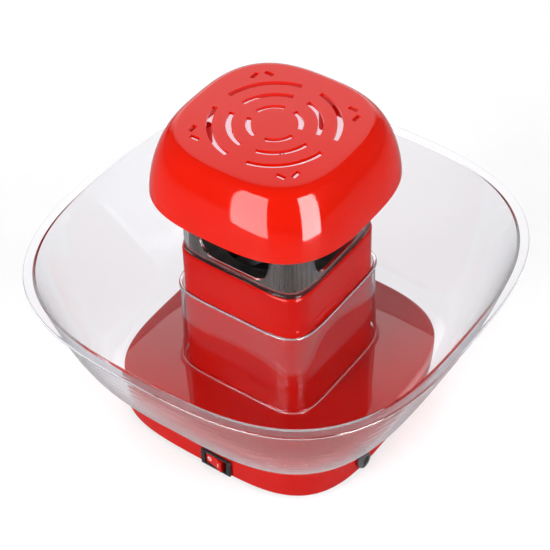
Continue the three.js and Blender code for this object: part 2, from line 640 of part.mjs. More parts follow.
root.add(node('motor_bearing', motorBearing(), BRASS));
motorScrewPlaces.forEach((x, i) => root.add(node(`motor_screw_${i + 1}`, motorScrew(x), STEEL)));
root.add(node('rectifier_board', rectifierBoard(), BOARD));
root.add(node('bridge_rectifier', bridgeRectifier(), BLACK));
root.add(node('filter_capacitor', filterCapacitor(), BLACK));
root.add(node('terminal_block', terminalBlock(), WHITE));
root.add(node('switch_housing', switchHousing(), BLACK));
root.add(node('switch_pivot', switchPivot(), STEEL));
[-5, 5].forEach((dx, i) => root.add(node(`switch_terminal_${i + 1}`, switchTerminal(dx), BRASS)));
root.add(node('cord_gland', cordGland(), RUBBER));
root.add(node('live_lead', liveLead(), WIRE_BROWN));
root.add(node('switched_lead', switchedLead(), WIRE_BROWN));
root.add(node('neutral_lead', neutralLead(), WIRE_BLUE));
root.add(node('board_lead', boardLead(), WIRE_BLUE));
root.add(node('motor_lead', motorLead(), WIRE_RED));
root.add(node('switch_rocker', switchRocker(), RED));

fan.add(node('fan_impeller', fanImpeller(), WHITE));
fan.add(node('motor_shaft', motorShaft(), STEEL));
fan.add(node('motor_armature', motorArmature(), BRASS));

lid.add(node('top_cover', topCover(), RED));
lid.add(node('inner_deflector', innerDeflector(), WHITE));
lid.add(node('chimney_shell', chimneyShell(), CLEAR));
lid.add(node('chimney_liner', chimneyLiner(), DARK_STEEL));
sides(COVER_SCREW).forEach(([x, y], i) => {
  const neck = CHIMNEY.top - CHIMNEY.flange - GAP;
  lid.add(node(`cover_screw_${i + 1}`, screw(x, y, neck - 1.7, neck, 218), STEEL));
});

root.add(fan, lid, node('bowl', bowl(), CLEAR));

export default root;
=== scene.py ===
"""Looks of the hot-air popcorn maker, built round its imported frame.

The object is a red base and tower, a clear bowl that sleeves over the tower, and a lift-off lid:
a clear chimney with four outlets, lined with dark metal, under a domed and slotted red cover.
Sizes are in millimetres in the classes and are turned into metres when a mesh is made.
"""

import json
import logging
import math
from dataclasses import dataclass
from enum import Enum
from functools import partial
from typing import Callable, Iterable, Optional, Sequence

import bmesh
import bpy
from mathutils import Matrix, Quaternion, Vector


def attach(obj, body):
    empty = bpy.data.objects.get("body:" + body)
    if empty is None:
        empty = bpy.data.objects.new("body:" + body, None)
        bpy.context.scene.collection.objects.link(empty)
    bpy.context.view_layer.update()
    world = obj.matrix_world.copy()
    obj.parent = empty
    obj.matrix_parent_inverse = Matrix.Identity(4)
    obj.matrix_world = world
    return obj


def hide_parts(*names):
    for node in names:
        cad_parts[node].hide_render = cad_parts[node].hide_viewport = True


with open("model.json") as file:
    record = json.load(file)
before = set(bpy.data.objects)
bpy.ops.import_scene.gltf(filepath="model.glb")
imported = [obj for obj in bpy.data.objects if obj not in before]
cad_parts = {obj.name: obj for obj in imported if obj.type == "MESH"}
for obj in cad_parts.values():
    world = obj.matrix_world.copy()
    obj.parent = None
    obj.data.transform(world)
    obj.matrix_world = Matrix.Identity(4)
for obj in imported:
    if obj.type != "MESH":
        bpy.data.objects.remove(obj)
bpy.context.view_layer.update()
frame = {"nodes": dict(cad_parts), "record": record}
MM = 0.001
ROUND = 2.0                 # exponent of a circle
TOWER_EXPONENT = 6.5        # exponent of the tower's rounded square
CROWD = 0.45                # how far a rounded square's points crowd towards its diagonals
SHARP = 32.0                # degrees past which an edge is shaded sharp
SHARP_SOFTENED = 60.0       # the same, on a piece whose edges are rounded
SWITCH_X = 14.0             # centre of the switch across the front
SWITCH_Z = 12.6             # height of the switch's centre
BOTTOM_SCREWS = 72.0        # offset of the bottom cover's screws on both axes
TOWER_SCREWS = 41.5         # offset of the tower's screws on both axes
CHAMBER_SCREWS = 37.0       # offset of the popping chamber's screws on both axes
COVER_SCREWS = 57.0         # distance of the cover's screws from the axis
PILOT = 1.7                 # radius of a hole that a screw cuts its thread in
WHITE = (1.0, 1.0, 1.0, 1.0)
LOG = logging.getLogger("popcorn_maker")

Section = tuple[float, float, float]


# ------------------------------------------------------------------ profiles and lofts

@dataclass(frozen=True)
class Corner:
    """A corner of a cross-section: half width, height, rounded-square exponent and fillet radius."""

    half: float
    z: float
    exponent: float = ROUND
    radius: float = 0.0
    steps: int = 5


def rounded_profile(corners: Sequence[Corner], closed: bool = True) -> list[Section]:
    """Turns corners into sections, with an arc at each corner that has a radius.

    Args:
        corners: the outline, counter-clockwise with half width to the right and height up.
        closed: whether the last corner joins the first.

    Returns:
        The sections, as half width, height and exponent.
    """
    sections: list[Section] = []
    count = len(corners)
    for i, corner in enumerate(corners):
        at_end = not closed and i in (0, count - 1)
        if corner.radius <= 0 or at_end:
            sections.append((corner.half, corner.z, corner.exponent))
            continue
        here = Vector((corner.half, corner.z))
        before = corners[i - 1]
        after = corners[(i + 1) % count]
        back = (Vector((before.half, before.z)) - here).normalized()
        ahead = (Vector((after.half, after.z)) - here).normalized()
        opening = back.angle(ahead)
        reach = corner.radius / math.tan(opening / 2)
        centre = here + (back + ahead).normalized() * corner.radius / math.sin(opening / 2)
        first = here + back * reach - centre
        last = here + ahead * reach - centre
        turn = first.angle(last)
        for step in range(corner.steps + 1):
            share = step / corner.steps
            weight_a = math.sin((1 - share) * turn) / math.sin(turn)
            weight_b = math.sin(share * turn) / math.sin(turn)
            point = centre + first * weight_a + last * weight_b
            sections.append((point.x, point.y, corner.exponent))
    return sections


def braced(sections: Sequence[Section], closed: bool, span: float = 4.0,
           margin: float = 0.7) -> list[Section]:
    """Adds a section just inside each end of every long span, so that flat walls shade flat."""
    result: list[Section] = []
    ends = list(sections[1:]) + ([sections[0]] if closed else [])
    for start, end in zip(sections, ends):
        result.append(start)
        length = math.hypot(end[0] - start[0], end[1] - start[1])
        if length > span:
            for share in (margin / length, 1 - margin / length):
                result.append(tuple(a + (b - a) * share for a, b in zip(start, end)))
    return result if closed else [*result, sections[-1]]


def rounded_square(half: float, exponent: float, angle: float) -> tuple[float, float]:
    """Point of a rounded square in the direction of angle."""
    cosine, sine = math.cos(angle), math.sin(angle)
    reach = (abs(cosine) ** exponent + abs(sine) ** exponent) ** (-1 / exponent)
    return half * reach * cosine, half * reach * sine


def crowded_angles(segments: int, crowd: float) -> list[float]:
    """Angles round a circle, closer together near the four diagonals."""
    turns = [2 * math.pi * i / segments for i in range(segments)]
    return [turn + crowd / 4 * math.sin(4 * turn) for turn in turns]


def loft(name: str, sections: Sequence[Section], segments: int = 256, closed: bool = True,
         capped: bool = False) -> bpy.types.Object:
    """Makes a turned or rounded-square body from its sections.

    Args:
        name: the piece's name.
        sections: half width, height and exponent, in millimetres, counter-clockwise.
        segments: points round each section.
        closed: joins the last section to the first.
        capped: closes an open loft's two ends with flat faces.

    Returns:
        The new object, smooth, with its sharp edges marked.
    """
    mesh = bmesh.new()
    crowd = 0.0 if all(exponent == ROUND for _, _, exponent in sections) else CROWD
    angles = crowded_angles(segments, crowd)
    rows: list[list[bmesh.types.BMVert]] = []
    for half, z, exponent in braced(sections, closed):
        if half <= 0:
            rows.append([mesh.verts.new((0, 0, z * MM))])
            continue
        points = [rounded_square(half * MM, exponent, angle) for angle in angles]
        rows.append([mesh.verts.new((x, y, z * MM)) for x, y in points])
    pairs = list(zip(rows, rows[1:]))
    if closed:
        pairs.append((rows[-1], rows[0]))
    for low, high in pairs:
        for i in range(segments):
            j = (i + 1) % segments
            if len(low) == 1:
                mesh.faces.new((low[0], high[j], high[i]))
            elif len(high) == 1:
                mesh.faces.new((low[i], low[j], high[0]))
            else:
                mesh.faces.new((low[i], low[j], high[j], high[i]))
    if capped:
        mesh.faces.new(list(reversed(rows[0])))
        mesh.faces.new(rows[-1])
    return made(name, mesh)


def made(name: str, mesh: bmesh.types.BMesh) -> bpy.types.Object:
    """Wraps a bmesh in a linked object, smooth, with its sharp edges marked."""
    data = bpy.data.meshes.new(name)
    mesh.to_mesh(data)
    mesh.free()
    piece = bpy.data.objects.new(name, data)
    bpy.context.scene.collection.objects.link(piece)
    shade(piece)
    return piece


def shade(piece: bpy.types.Object, angle: float = SHARP) -> None:
    """Shades a piece smooth and marks its edges over angle degrees as sharp."""
    mesh = bmesh.new()
    mesh.from_mesh(piece.data)
    for face in mesh.faces:
        face.smooth = True
    for edge in mesh.edges:
        bend = edge.calc_face_angle(0.0) if edge.is_manifold else math.pi
        edge.smooth = bend < math.radians(angle)
    mesh.to_mesh(piece.data)
    mesh.free()


def prism(name: str, outline: Sequence[tuple[float, float]], low: float, high: float) -> bpy.types.Object:
    """Extrudes a flat outline, in millimetres, from low to high along Z."""
    mesh = bmesh.new()
    bottom = [mesh.verts.new((x * MM, y * MM, low * MM)) for x, y in outline]
    top = [mesh.verts.new((x * MM, y * MM, high * MM)) for x, y in outline]
    mesh.faces.new(list(reversed(bottom)))
    mesh.faces.new(top)
    for i in range(len(outline)):
        j = (i + 1) % len(outline)
        mesh.faces.new((bottom[i], bottom[j], top[j], top[i]))
    bmesh.ops.recalc_face_normals(mesh, faces=mesh.faces)
    return made(name, mesh)


def block(name: str, size: Sequence[float], centre: Sequence[float]) -> bpy.types.Object:
    """Makes a box of this size about this centre, in millimetres."""
    half_x, half_y = size[0] / 2, size[1] / 2
    outline = [(-half_x, -half_y), (half_x, -half_y), (half_x, half_y), (-half_x, half_y)]
    piece = prism(name, outline, -size[2] / 2, size[2] / 2)
    place(piece, Matrix.Translation(Vector(centre) * MM))
    return piece


def rod(name: str, radius: float, low: float, high: float, segments: int = 48) -> bpy.types.Object:
    """Makes a plain upright cylinder about the Z axis, in millimetres."""
    return loft(name, [(0, low, ROUND), (radius, low, ROUND), (radius, high, ROUND), (0, high, ROUND)],
                segments, closed=False)


def diagonal(offset: float) -> float:
    """Distance from the axis of a point that is offset by this much on both axes."""
    return offset * math.sqrt(2)


def place(piece: bpy.types.Object, matrix: Matrix) -> None:
    """Moves a piece's mesh, leaving the object at the origin."""
    piece.data.transform(matrix)
    piece.data.update()


# ------------------------------------------------------------------ modifiers, applied

def bake(piece: bpy.types.Object) -> None:
    """Turns a piece's modifiers into its plain mesh."""
    bpy.context.view_layer.update()
    graph = bpy.context.evaluated_depsgraph_get()
    plain = bpy.data.meshes.new_from_object(piece.evaluated_get(graph))
    piece.modifiers.clear()
    piece.data = plain


def remove(*pieces: bpy.types.Object) -> None:
    """Deletes working objects that are no longer needed."""
    for piece in pieces:
        bpy.data.objects.remove(piece)


def carve(piece: bpy.types.Object, cutters: Iterable[bpy.types.Object],
          operation: str = "DIFFERENCE") -> None:
    """Cuts or joins working objects into a piece, then deletes them."""
    used = list(cutters)
    for cutter in used:
        step = piece.modifiers.new("carve", "BOOLEAN")
        step.object = cutter
        step.operation = operation
        step.solver = "EXACT"
    bake(piece)
    remove(*used)


def soften(piece: bpy.types.Object, width: float, segments: int = 2, angle: float = 40.0) -> None:
    """Rounds a piece's sharp edges by width millimetres."""
    bevel = piece.modifiers.new("soften", "BEVEL")
    bevel.width = width * MM
    bevel.segments = segments
    bevel.limit_method = "ANGLE"
    bevel.angle_limit = math.radians(angle)
    bevel.miter_outer = "MITER_ARC"
    bevel.use_clamp_overlap = True
    bake(piece)
    shade(piece, SHARP_SOFTENED)
    flatten(piece)


def flatten(piece: bpy.types.Object) -> None:
    """Makes a piece's large flat faces shade flat beside its rounded edges."""
    weigh = piece.modifiers.new("flatten", "WEIGHTED_NORMAL")
    weigh.mode = "FACE_AREA"
    weigh.weight = 100
    weigh.keep_sharp = True
    bake(piece)


# ------------------------------------------------------------------ nodes

def add_node(tree: bpy.types.NodeTree, kind: str, values: dict, **settings: object) -> bpy.types.Node:
    """Adds a node to a tree.

    Args:
        tree: the tree.
        kind: the node's type.
        values: its inputs, by name or number, each a socket to link or a value to set.
        settings: its properties.

    Returns:
        The new node.
    """
    node = tree.nodes.new(kind)
    for key, value in settings.items():
        setattr(node, key, value)
    for key, value in values.items():
        if isinstance(value, bpy.types.NodeSocket):
            tree.links.new(value, node.inputs[key])
        else:
            node.inputs[key].default_value = value
    return node


def math_node(tree: bpy.types.NodeTree, operation: str, *operands: object) -> bpy.types.NodeSocket:
    """Adds a Math node and returns its result; each operand is a number or a socket."""
    return add_node(tree, "ShaderNodeMath", dict(enumerate(operands)), operation=operation).outputs[0]


# ------------------------------------------------------------------ Geometry Nodes

class Tree:
    """A Geometry Nodes tree under construction, with named inputs."""

    def __init__(self, name: str) -> None:
        """Starts an empty tree with a geometry output."""
        self.group = bpy.data.node_groups.new(name, "GeometryNodeTree")
        self.group.interface.new_socket("Geometry", in_out="OUTPUT", socket_type="NodeSocketGeometry")
        self.entry = self.group.nodes.new("NodeGroupInput")
        self.output = self.group.nodes.new("NodeGroupOutput")

    def inputs(self, **kinds: str) -> list[bpy.types.NodeSocket]:
        """Adds inputs of these kinds, named with _ for a space, and returns their sockets."""
        labels = [name.replace("_", " ") for name in kinds]
        for label, kind in zip(labels, kinds.values()):
            self.group.interface.new_socket(label, in_out="INPUT", socket_type=f"NodeSocket{kind}")
        return [self.entry.outputs[label] for label in labels]

    def node(self, kind: str, values: dict, **settings: object) -> bpy.types.Node:
        """Adds a node with its inputs linked or set."""
        return add_node(self.group, kind, values, **settings)

    def math(self, operation: str, *operands: object) -> bpy.types.NodeSocket:
        """Adds a Math node and returns its result; each operand is a number or a socket."""
        return math_node(self.group, operation, *operands)

    def vector(self, **parts: bpy.types.NodeSocket) -> bpy.types.NodeSocket:
        """Joins X, Y and Z parts into a vector."""
        return self.node("ShaderNodeCombineXYZ", parts).outputs[0]

    def index(self) -> bpy.types.NodeSocket:
        """Returns each point's number."""
        return self.node("GeometryNodeInputIndex", {}).outputs[0]

    def sweep(self, path: bpy.types.Node, section: bpy.types.Node) -> bpy.types.NodeSocket:
        """Sweeps a section along a path and closes the ends."""
        swept = self.node("GeometryNodeCurveToMesh", {
            "Curve": path.outputs["Curve"], "Profile Curve": section.outputs["Curve"], "Fill Caps": True})
        return swept.outputs["Mesh"]

    def copies(self, count: object, position: bpy.types.NodeSocket, piece: bpy.types.NodeSocket,
               **placing: bpy.types.NodeSocket) -> bpy.types.NodeSocket:
        """Puts a copy of a piece at each of several points.

        Args:
            count: how many points.
            position: where each point is.
            piece: the geometry to copy.
            placing: the copies' Rotation or Scale.

        Returns:
            The copies, as instances.
        """
        points = self.node("GeometryNodePoints", {"Count": count, "Position": position})
        placed = self.node("GeometryNodeInstanceOnPoints", {
            "Points": points.outputs[0], "Instance": piece, **placing})
        return placed.outputs["Instances"]

    def finish(self, geometry: bpy.types.NodeSocket) -> bpy.types.NodeTree:
        """Realizes the instances, sets the material, which is an input too, and returns the tree."""
        material = self.inputs(Material="Material")[0]
        realized = self.node("GeometryNodeRealizeInstances", {"Geometry": geometry})
        dressed = self.node("GeometryNodeSetMaterial", {
            "Geometry": realized.outputs["Geometry"], "Material": material})
        self.group.links.new(dressed.outputs["Geometry"], self.output.inputs["Geometry"])
        return self.group


def ring_tree() -> bpy.types.NodeTree:
    """Copies one piece round the Z axis: count, radius and first angle are inputs."""
    tree = Tree("copies_round_axis")
    count, radius, phase, source = tree.inputs(Count="Int", Radius="Float", First_angle="Float",
                                               Piece="Object")
    turned = tree.math("DIVIDE", tree.math("MULTIPLY", tree.index(), math.tau), count)
    angle = tree.math("ADD", turned, phase)
    spot = tree.vector(X=tree.math("MULTIPLY", tree.math("COSINE", angle), radius),
                       Y=tree.math("MULTIPLY", tree.math("SINE", angle), radius))
    piece = tree.node("GeometryNodeObjectInfo", {"Object": source}).outputs["Geometry"]
    return tree.finish(tree.copies(count, spot, piece, Rotation=tree.vector(Z=angle)))


def chord_tree() -> bpy.types.NodeTree:
    """Parallel slot cutters, each as long as the chord of a circle at its place."""
    tree = Tree("slots_in_circle")
    count, pitch, reach, width, depth, level = tree.inputs(
        Count="Int", Pitch="Float", Reach="Float", Width="Float", Depth="Float", Level="Float")
    middle = tree.math("DIVIDE", tree.math("SUBTRACT", count, 1.0), 2.0)
    across = tree.math("MULTIPLY", tree.math("SUBTRACT", tree.index(), middle), pitch)
    squared = tree.math("SUBTRACT", tree.math("MULTIPLY", reach, reach),
                        tree.math("MULTIPLY", across, across))
    length = tree.math("MULTIPLY", tree.math("SQRT", squared), 2.0)
    cube = tree.node("GeometryNodeMeshCube", {"Size": (1.0, 1.0, 1.0)}).outputs["Mesh"]
    return tree.finish(tree.copies(count, tree.vector(X=across, Z=level), cube,
                                   Scale=tree.vector(X=width, Y=length, Z=depth)))


def arc_tree() -> bpy.types.NodeTree:
    """Arc-shaped slot cutters round the Z axis, one to each quarter, with a bridge between them."""
    tree = Tree("arc_slots")
    radius, width, depth, bridge, level = tree.inputs(
        Radius="Float", Width="Float", Depth="Float", Bridge_angle="Float", Level="Float")
    quarter = math.pi / 2
    arc = tree.node("GeometryNodeCurveArc", {
        "Resolution": 28, "Radius": radius, "Start Angle": tree.math("MULTIPLY", bridge, 0.5),
        "Sweep Angle": tree.math("SUBTRACT", quarter, bridge)}, mode="RADIUS")
    section = tree.node("GeometryNodeCurvePrimitiveQuadrilateral", {"Width": width, "Height": depth},
                        mode="RECTANGLE")
    turn = tree.vector(Z=tree.math("MULTIPLY", tree.index(), quarter))
    return tree.finish(tree.copies(4, tree.vector(Z=level), tree.sweep(arc, section), Rotation=turn))


def coil_tree() -> bpy.types.NodeTree:
    """A round wire wound in a helix about the Z axis."""
    tree = Tree("wound_wire")
    turns, radius, rise, wire, low = tree.inputs(
        Turns="Float", Radius="Float", Rise="Float", Wire_radius="Float", Low="Float")
    helix = tree.node("GeometryNodeCurveSpiral", {
        "Resolution": 64, "Rotations": turns, "Start Radius": radius, "End Radius": radius,
        "Height": rise})
    section = tree.node("GeometryNodeCurvePrimitiveCircle", {"Resolution": 14, "Radius": wire})
    raised = tree.node("GeometryNodeTransform", {
        "Geometry": tree.sweep(helix, section), "Translation": tree.vector(Z=low)})
    return tree.finish(raised.outputs["Geometry"])


class Patterns:
    """Builds each tree once and makes pieces from it."""

    def __init__(self) -> None:
        """Starts with no tree built."""
        self.trees: dict[str, bpy.types.NodeTree] = {}

    def piece(self, name: str, build: Callable[[], bpy.types.NodeTree],
              **values: object) -> bpy.types.Object:
        """Makes one plain mesh from a tree.

        Args:
            name: the piece's name.
            build: the function that builds the tree.
            values: the tree's inputs, by name with _ for a space.

        Returns:
            The new piece, with its modifier already turned into mesh.
        """
        if build.__name__ not in self.trees:
            self.trees[build.__name__] = build()
        tree = self.trees[build.__name__]
        piece = bpy.data.objects.new(name, bpy.data.meshes.new(name))
        bpy.context.scene.collection.objects.link(piece)
        modifier = piece.modifiers.new("pattern", "NODES")
        modifier.node_group = tree
        for item in tree.interface.items_tree:
            key = item.name.replace(" ", "_")
            if item.in_out == "INPUT" and key in values:
                modifier[item.identifier] = values[key]
        bake(piece)
        shade(piece)
        return piece

    def copies(self, name: str, source: bpy.types.Object, count: int, radius: float = 0.0,
               first: float = 0.0) -> bpy.types.Object:
        """Copies a source round the Z axis, count times, then deletes the source."""
        material = source.data.materials[0] if source.data.materials else None
        piece = self.piece(name, ring_tree, Count=count, Radius=radius * MM, First_angle=math.radians(first),
                           Piece=source, Material=material)
        remove(source)
        return piece


# ------------------------------------------------------------------ shared shader effects

def effect_tree(name: str, takes: dict[str, str], gives: dict[str, str]) -> tuple:
    """Starts a shader node group.

    Args:
        name: the group's name.
        takes: input names and their socket kinds.
        gives: output names and their socket kinds.

    Returns:
        The group, its input sockets by name, its output sockets by name and the function that
        adds a node to it.
    """
    group = bpy.data.node_groups.new(name, "ShaderNodeTree")
    for label, kind in takes.items():
        group.interface.new_socket(label, in_out="INPUT", socket_type=kind)
    for label, kind in gives.items():
        group.interface.new_socket(label, in_out="OUTPUT", socket_type=kind)
    entry = group.nodes.new("NodeGroupInput").outputs
    leave = group.nodes.new("NodeGroupOutput").inputs
    return group, entry, leave, partial(add_node, group)


def grain_group() -> bpy.types.NodeTree:
    """Fine moulded grain: a height that changes at two scales."""
    group, entry, leave, add = effect_tree(
        "moulded_grain", {"Vector": "NodeSocketVector", "Scale": "NodeSocketFloat"},
        {"Height": "NodeSocketFloat"})
    fine = add("ShaderNodeTexNoise", {"Vector": entry["Vector"], "Scale": entry["Scale"], "Detail": 3.0})
    wide = add("ShaderNodeMath", {0: entry["Scale"], 1: 0.12}, operation="MULTIPLY")
    slow = add("ShaderNodeTexNoise", {"Vector": entry["Vector"], "Scale": wide.outputs[0], "Detail": 1.0})
    total = add("ShaderNodeMath", {0: slow.outputs["Fac"], 1: 2.0, 2: fine.outputs["Fac"]},
                operation="MULTIPLY_ADD")
    group.links.new(total.outputs[0], leave["Height"])
    return group


def smudge_group() -> bpy.types.NodeTree:
    """Faint handling marks: a roughness between two limits."""
    group, entry, leave, add = effect_tree(
        "handling_marks",
        {"Vector": "NodeSocketVector", "Scale": "NodeSocketFloat", "Low": "NodeSocketFloat",
         "High": "NodeSocketFloat"},
        {"Roughness": "NodeSocketFloat"})
    patch = add("ShaderNodeTexNoise", {"Vector": entry["Vector"], "Scale": entry["Scale"], "Detail": 5.0,
                                       "Roughness": 0.62, "Distortion": 0.7})
    level = add("ShaderNodeMapRange", {"Value": patch.outputs["Fac"], "From Min": 0.38, "From Max": 0.72,
                                       "To Min": entry["Low"], "To Max": entry["High"]})
    group.links.new(level.outputs["Result"], leave["Roughness"])
    return group


def mottle_group() -> bpy.types.NodeTree:
    """Colour that drifts between two near shades."""
    group, entry, leave, add = effect_tree(
        "colour_drift",
        {"Vector": "NodeSocketVector", "Scale": "NodeSocketFloat", "Colour": "NodeSocketColor",
         "Other colour": "NodeSocketColor"},
        {"Colour": "NodeSocketColor"})
    cloud = add("ShaderNodeTexNoise", {"Vector": entry["Vector"], "Scale": entry["Scale"], "Detail": 4.0})
    share = add("ShaderNodeMapRange", {"Value": cloud.outputs["Fac"], "From Min": 0.3, "From Max": 0.7})
    blend = add("ShaderNodeMix", {"Factor": share.outputs["Result"], 6: entry["Colour"],
                                  7: entry["Other colour"]}, data_type="RGBA")
    group.links.new(blend.outputs[2], leave["Colour"])
    return group


def streak_group() -> bpy.types.NodeTree:
    """Brushed or drawn metal: streaks along the axis that Stretch leaves long."""
    group, entry, leave, add = effect_tree(
        "brushed_streaks",
        {"Vector": "NodeSocketVector", "Stretch": "NodeSocketVector", "Low": "NodeSocketFloat",
         "High": "NodeSocketFloat"},
        {"Height": "NodeSocketFloat", "Roughness": "NodeSocketFloat", "Shade": "NodeSocketFloat"})
    drawn = add("ShaderNodeVectorMath", {0: entry["Vector"], 1: entry["Stretch"]}, operation="MULTIPLY")
    fine = add("ShaderNodeTexNoise", {"Vector": drawn.outputs[0], "Scale": 1.0, "Detail": 6.0,
                                      "Roughness": 0.7})
    broad = add("ShaderNodeTexNoise", {"Vector": drawn.outputs[0], "Scale": 0.13, "Detail": 2.0})
    level = add("ShaderNodeMapRange", {"Value": fine.outputs["Fac"], "From Min": 0.25, "From Max": 0.75,
                                       "To Min": entry["Low"], "To Max": entry["High"]})
    shade_range = add("ShaderNodeMapRange", {"Value": broad.outputs["Fac"], "From Min": 0.35,
                                             "From Max": 0.65})
    group.links.new(fine.outputs["Fac"], leave["Height"])
    group.links.new(level.outputs["Result"], leave["Roughness"])
    group.links.new(shade_range.outputs["Result"], leave["Shade"])
    return group


class Effects:
    """Builds each shared effect once and places it in materials."""

    def __init__(self) -> None:
        """Starts with no effect built."""
        self.groups: dict[str, bpy.types.NodeTree] = {}

    def group(self, build: Callable[[], bpy.types.NodeTree]) -> bpy.types.NodeTree:
        """Returns the group that a function builds, built on first use."""
        if build.__name__ not in self.groups:
            self.groups[build.__name__] = build()
        return self.groups[build.__name__]


class Shader:
    """A material under construction round its Principled shader."""

    def __init__(self, name: str, effects: Effects, **sockets: object) -> None:
        """Starts a material and sets its plain values.

        Args:
            name: the material's name.
            effects: the shared effects.
            sockets: values for the Principled sockets, with _ for a space.
        """
        self.material = bpy.data.materials.new(name)
        self.material.use_nodes = True
        self.tree = self.material.node_tree
        self.effects = effects
        self.principled = self.tree.nodes["Principled BSDF"]
        self.place = self.add("ShaderNodeTexCoord", {}).outputs["Object"]
        for key, value in sockets.items():
            self.principled.inputs[key.replace("_", " ")].default_value = value

    def add(self, kind: str, values: dict, **settings: object) -> bpy.types.Node:
        """Adds a node with its inputs linked or set."""
        return add_node(self.tree, kind, values, **settings)

    def effect(self, build: Callable[[], bpy.types.NodeTree], values: dict) -> bpy.types.Node:
        """Places a shared effect with its own values."""
        return self.add("ShaderNodeGroup", {"Vector": self.place, **values},
                        node_tree=self.effects.group(build))

    def feed(self, socket: str, source: bpy.types.NodeSocket) -> None:
        """Feeds one of the Principled shader's sockets."""
        self.tree.links.new(source, self.principled.inputs[socket])

    def bump(self, height: bpy.types.NodeSocket, depth: float, strength: float = 1.0) -> None:
        """Feeds the normal from a height, with depth in millimetres."""
        node = self.add("ShaderNodeBump", {"Height": height, "Distance": depth * MM, "Strength": strength})
        self.feed("Normal", node.outputs["Normal"])


Colour = tuple[float, float, float, float]


def tone(red: float, green: float, blue: float) -> Colour:
    """A linear colour."""
    return red, green, blue, 1.0


@dataclass(frozen=True)
class Moulded:
    """Moulded plastic, rubber or board: two near shades, handling marks and a fine grain."""

    name: str
    colour: Colour
    other: Colour
    drift: float = 14.0
    low: float = 0.3
    high: float = 0.4
    grain: float = 900.0
    depth: float = 0.01
    # glow is emission strength: painted light, set only on the plate under the cover
    glow: float = 0.0
    shine: float = 0.5
    marks: float = 24.0

    def build(self, effects: Effects) -> bpy.types.Material:
        """Makes the material."""
        shader = Shader(self.name, effects, Emission_Strength=self.glow, Specular_IOR_Level=self.shine)
        drift = shader.effect(mottle_group, {"Scale": self.drift, "Colour": self.colour,
                                             "Other colour": self.other})
        shader.feed("Base Color", drift.outputs["Colour"])
        if self.glow:
            shader.feed("Emission Color", drift.outputs["Colour"])
        marks = shader.effect(smudge_group, {"Scale": self.marks, "Low": self.low, "High": self.high})
        shader.feed("Roughness", marks.outputs["Roughness"])
        grain = shader.effect(grain_group, {"Scale": self.grain})
        shader.bump(grain.outputs["Height"], self.depth)
        return shader.material


@dataclass(frozen=True)
class Metal:
    """Brushed, drawn or plain metal with streaks that run along one axis."""

    name: str
    colour: Colour
    other: Colour
    low: float = 0.25
    high: float = 0.4
    stretch: tuple[float, float, float] = (900.0, 900.0, 12.0)
    depth: float = 0.01
    tint: Optional[Colour] = None
    stains: float = 55.0

    def build(self, effects: Effects) -> bpy.types.Material:
        """Makes the material."""
        shader = Shader(self.name, effects, Metallic=1.0)
        streaks = shader.effect(streak_group, {"Stretch": self.stretch, "Low": self.low, "High": self.high})
        blend = shader.add("ShaderNodeMix", {"Factor": streaks.outputs["Shade"], 6: self.colour,
                                             7: self.other}, data_type="RGBA")
        colour = blend.outputs[2]
        if self.tint:
            stains = shader.effect(mottle_group, {"Scale": self.stains, "Colour": colour,
                                                  "Other colour": self.tint})
            colour = stains.outputs["Colour"]
        shader.feed("Base Color", colour)
        shader.feed("Roughness", streaks.outputs["Roughness"])
        shader.bump(streaks.outputs["Height"], self.depth)
        return shader.material


@dataclass(frozen=True)
class ClearPlastic:
    """Polished clear plastic with faint handling marks.

    Shadow rays pass straight through it, and so does light that has met a few surfaces already: a
    thin clear edge then looks pale and not black.
    """

    name: str
    colour: Colour
    low: float = 0.01
    high: float = 0.05
    ior: float = 1.49
    shadow: Colour = (0.93, 0.935, 0.95, 1.0)
    surfaces: float = 3.5
    marks: float = 16.0
    ripple: float = 60.0
    depth: float = 0.02
    strength: float = 0.6

    def build(self, effects: Effects) -> bpy.types.Material:
        """Makes the material."""
        shader = Shader(self.name, effects, Base_Color=self.colour, IOR=self.ior, Transmission_Weight=1.0)
        marks = shader.effect(smudge_group, {"Scale": self.marks, "Low": self.low, "High": self.high})
        shader.feed("Roughness", marks.outputs["Roughness"])
        ripple = shader.effect(grain_group, {"Scale": self.ripple})
        shader.bump(ripple.outputs["Height"], self.depth, self.strength)
        through = shader.add("ShaderNodeBsdfTransparent", {"Color": self.shadow})
        path = shader.add("ShaderNodeLightPath", {})
        deep = math_node(shader.tree, "GREATER_THAN", path.outputs["Ray Depth"], self.surfaces)
        straight = math_node(shader.tree, "MAXIMUM", path.outputs["Is Shadow Ray"], deep)
        either = shader.add("ShaderNodeMixShader", {0: straight, 1: shader.principled.outputs["BSDF"],
                                                    2: through.outputs["BSDF"]})
        output = shader.tree.nodes["Material Output"]
        shader.tree.links.new(either.outputs[0], output.inputs["Surface"])
        return shader.material


Look = Moulded | Metal | ClearPlastic


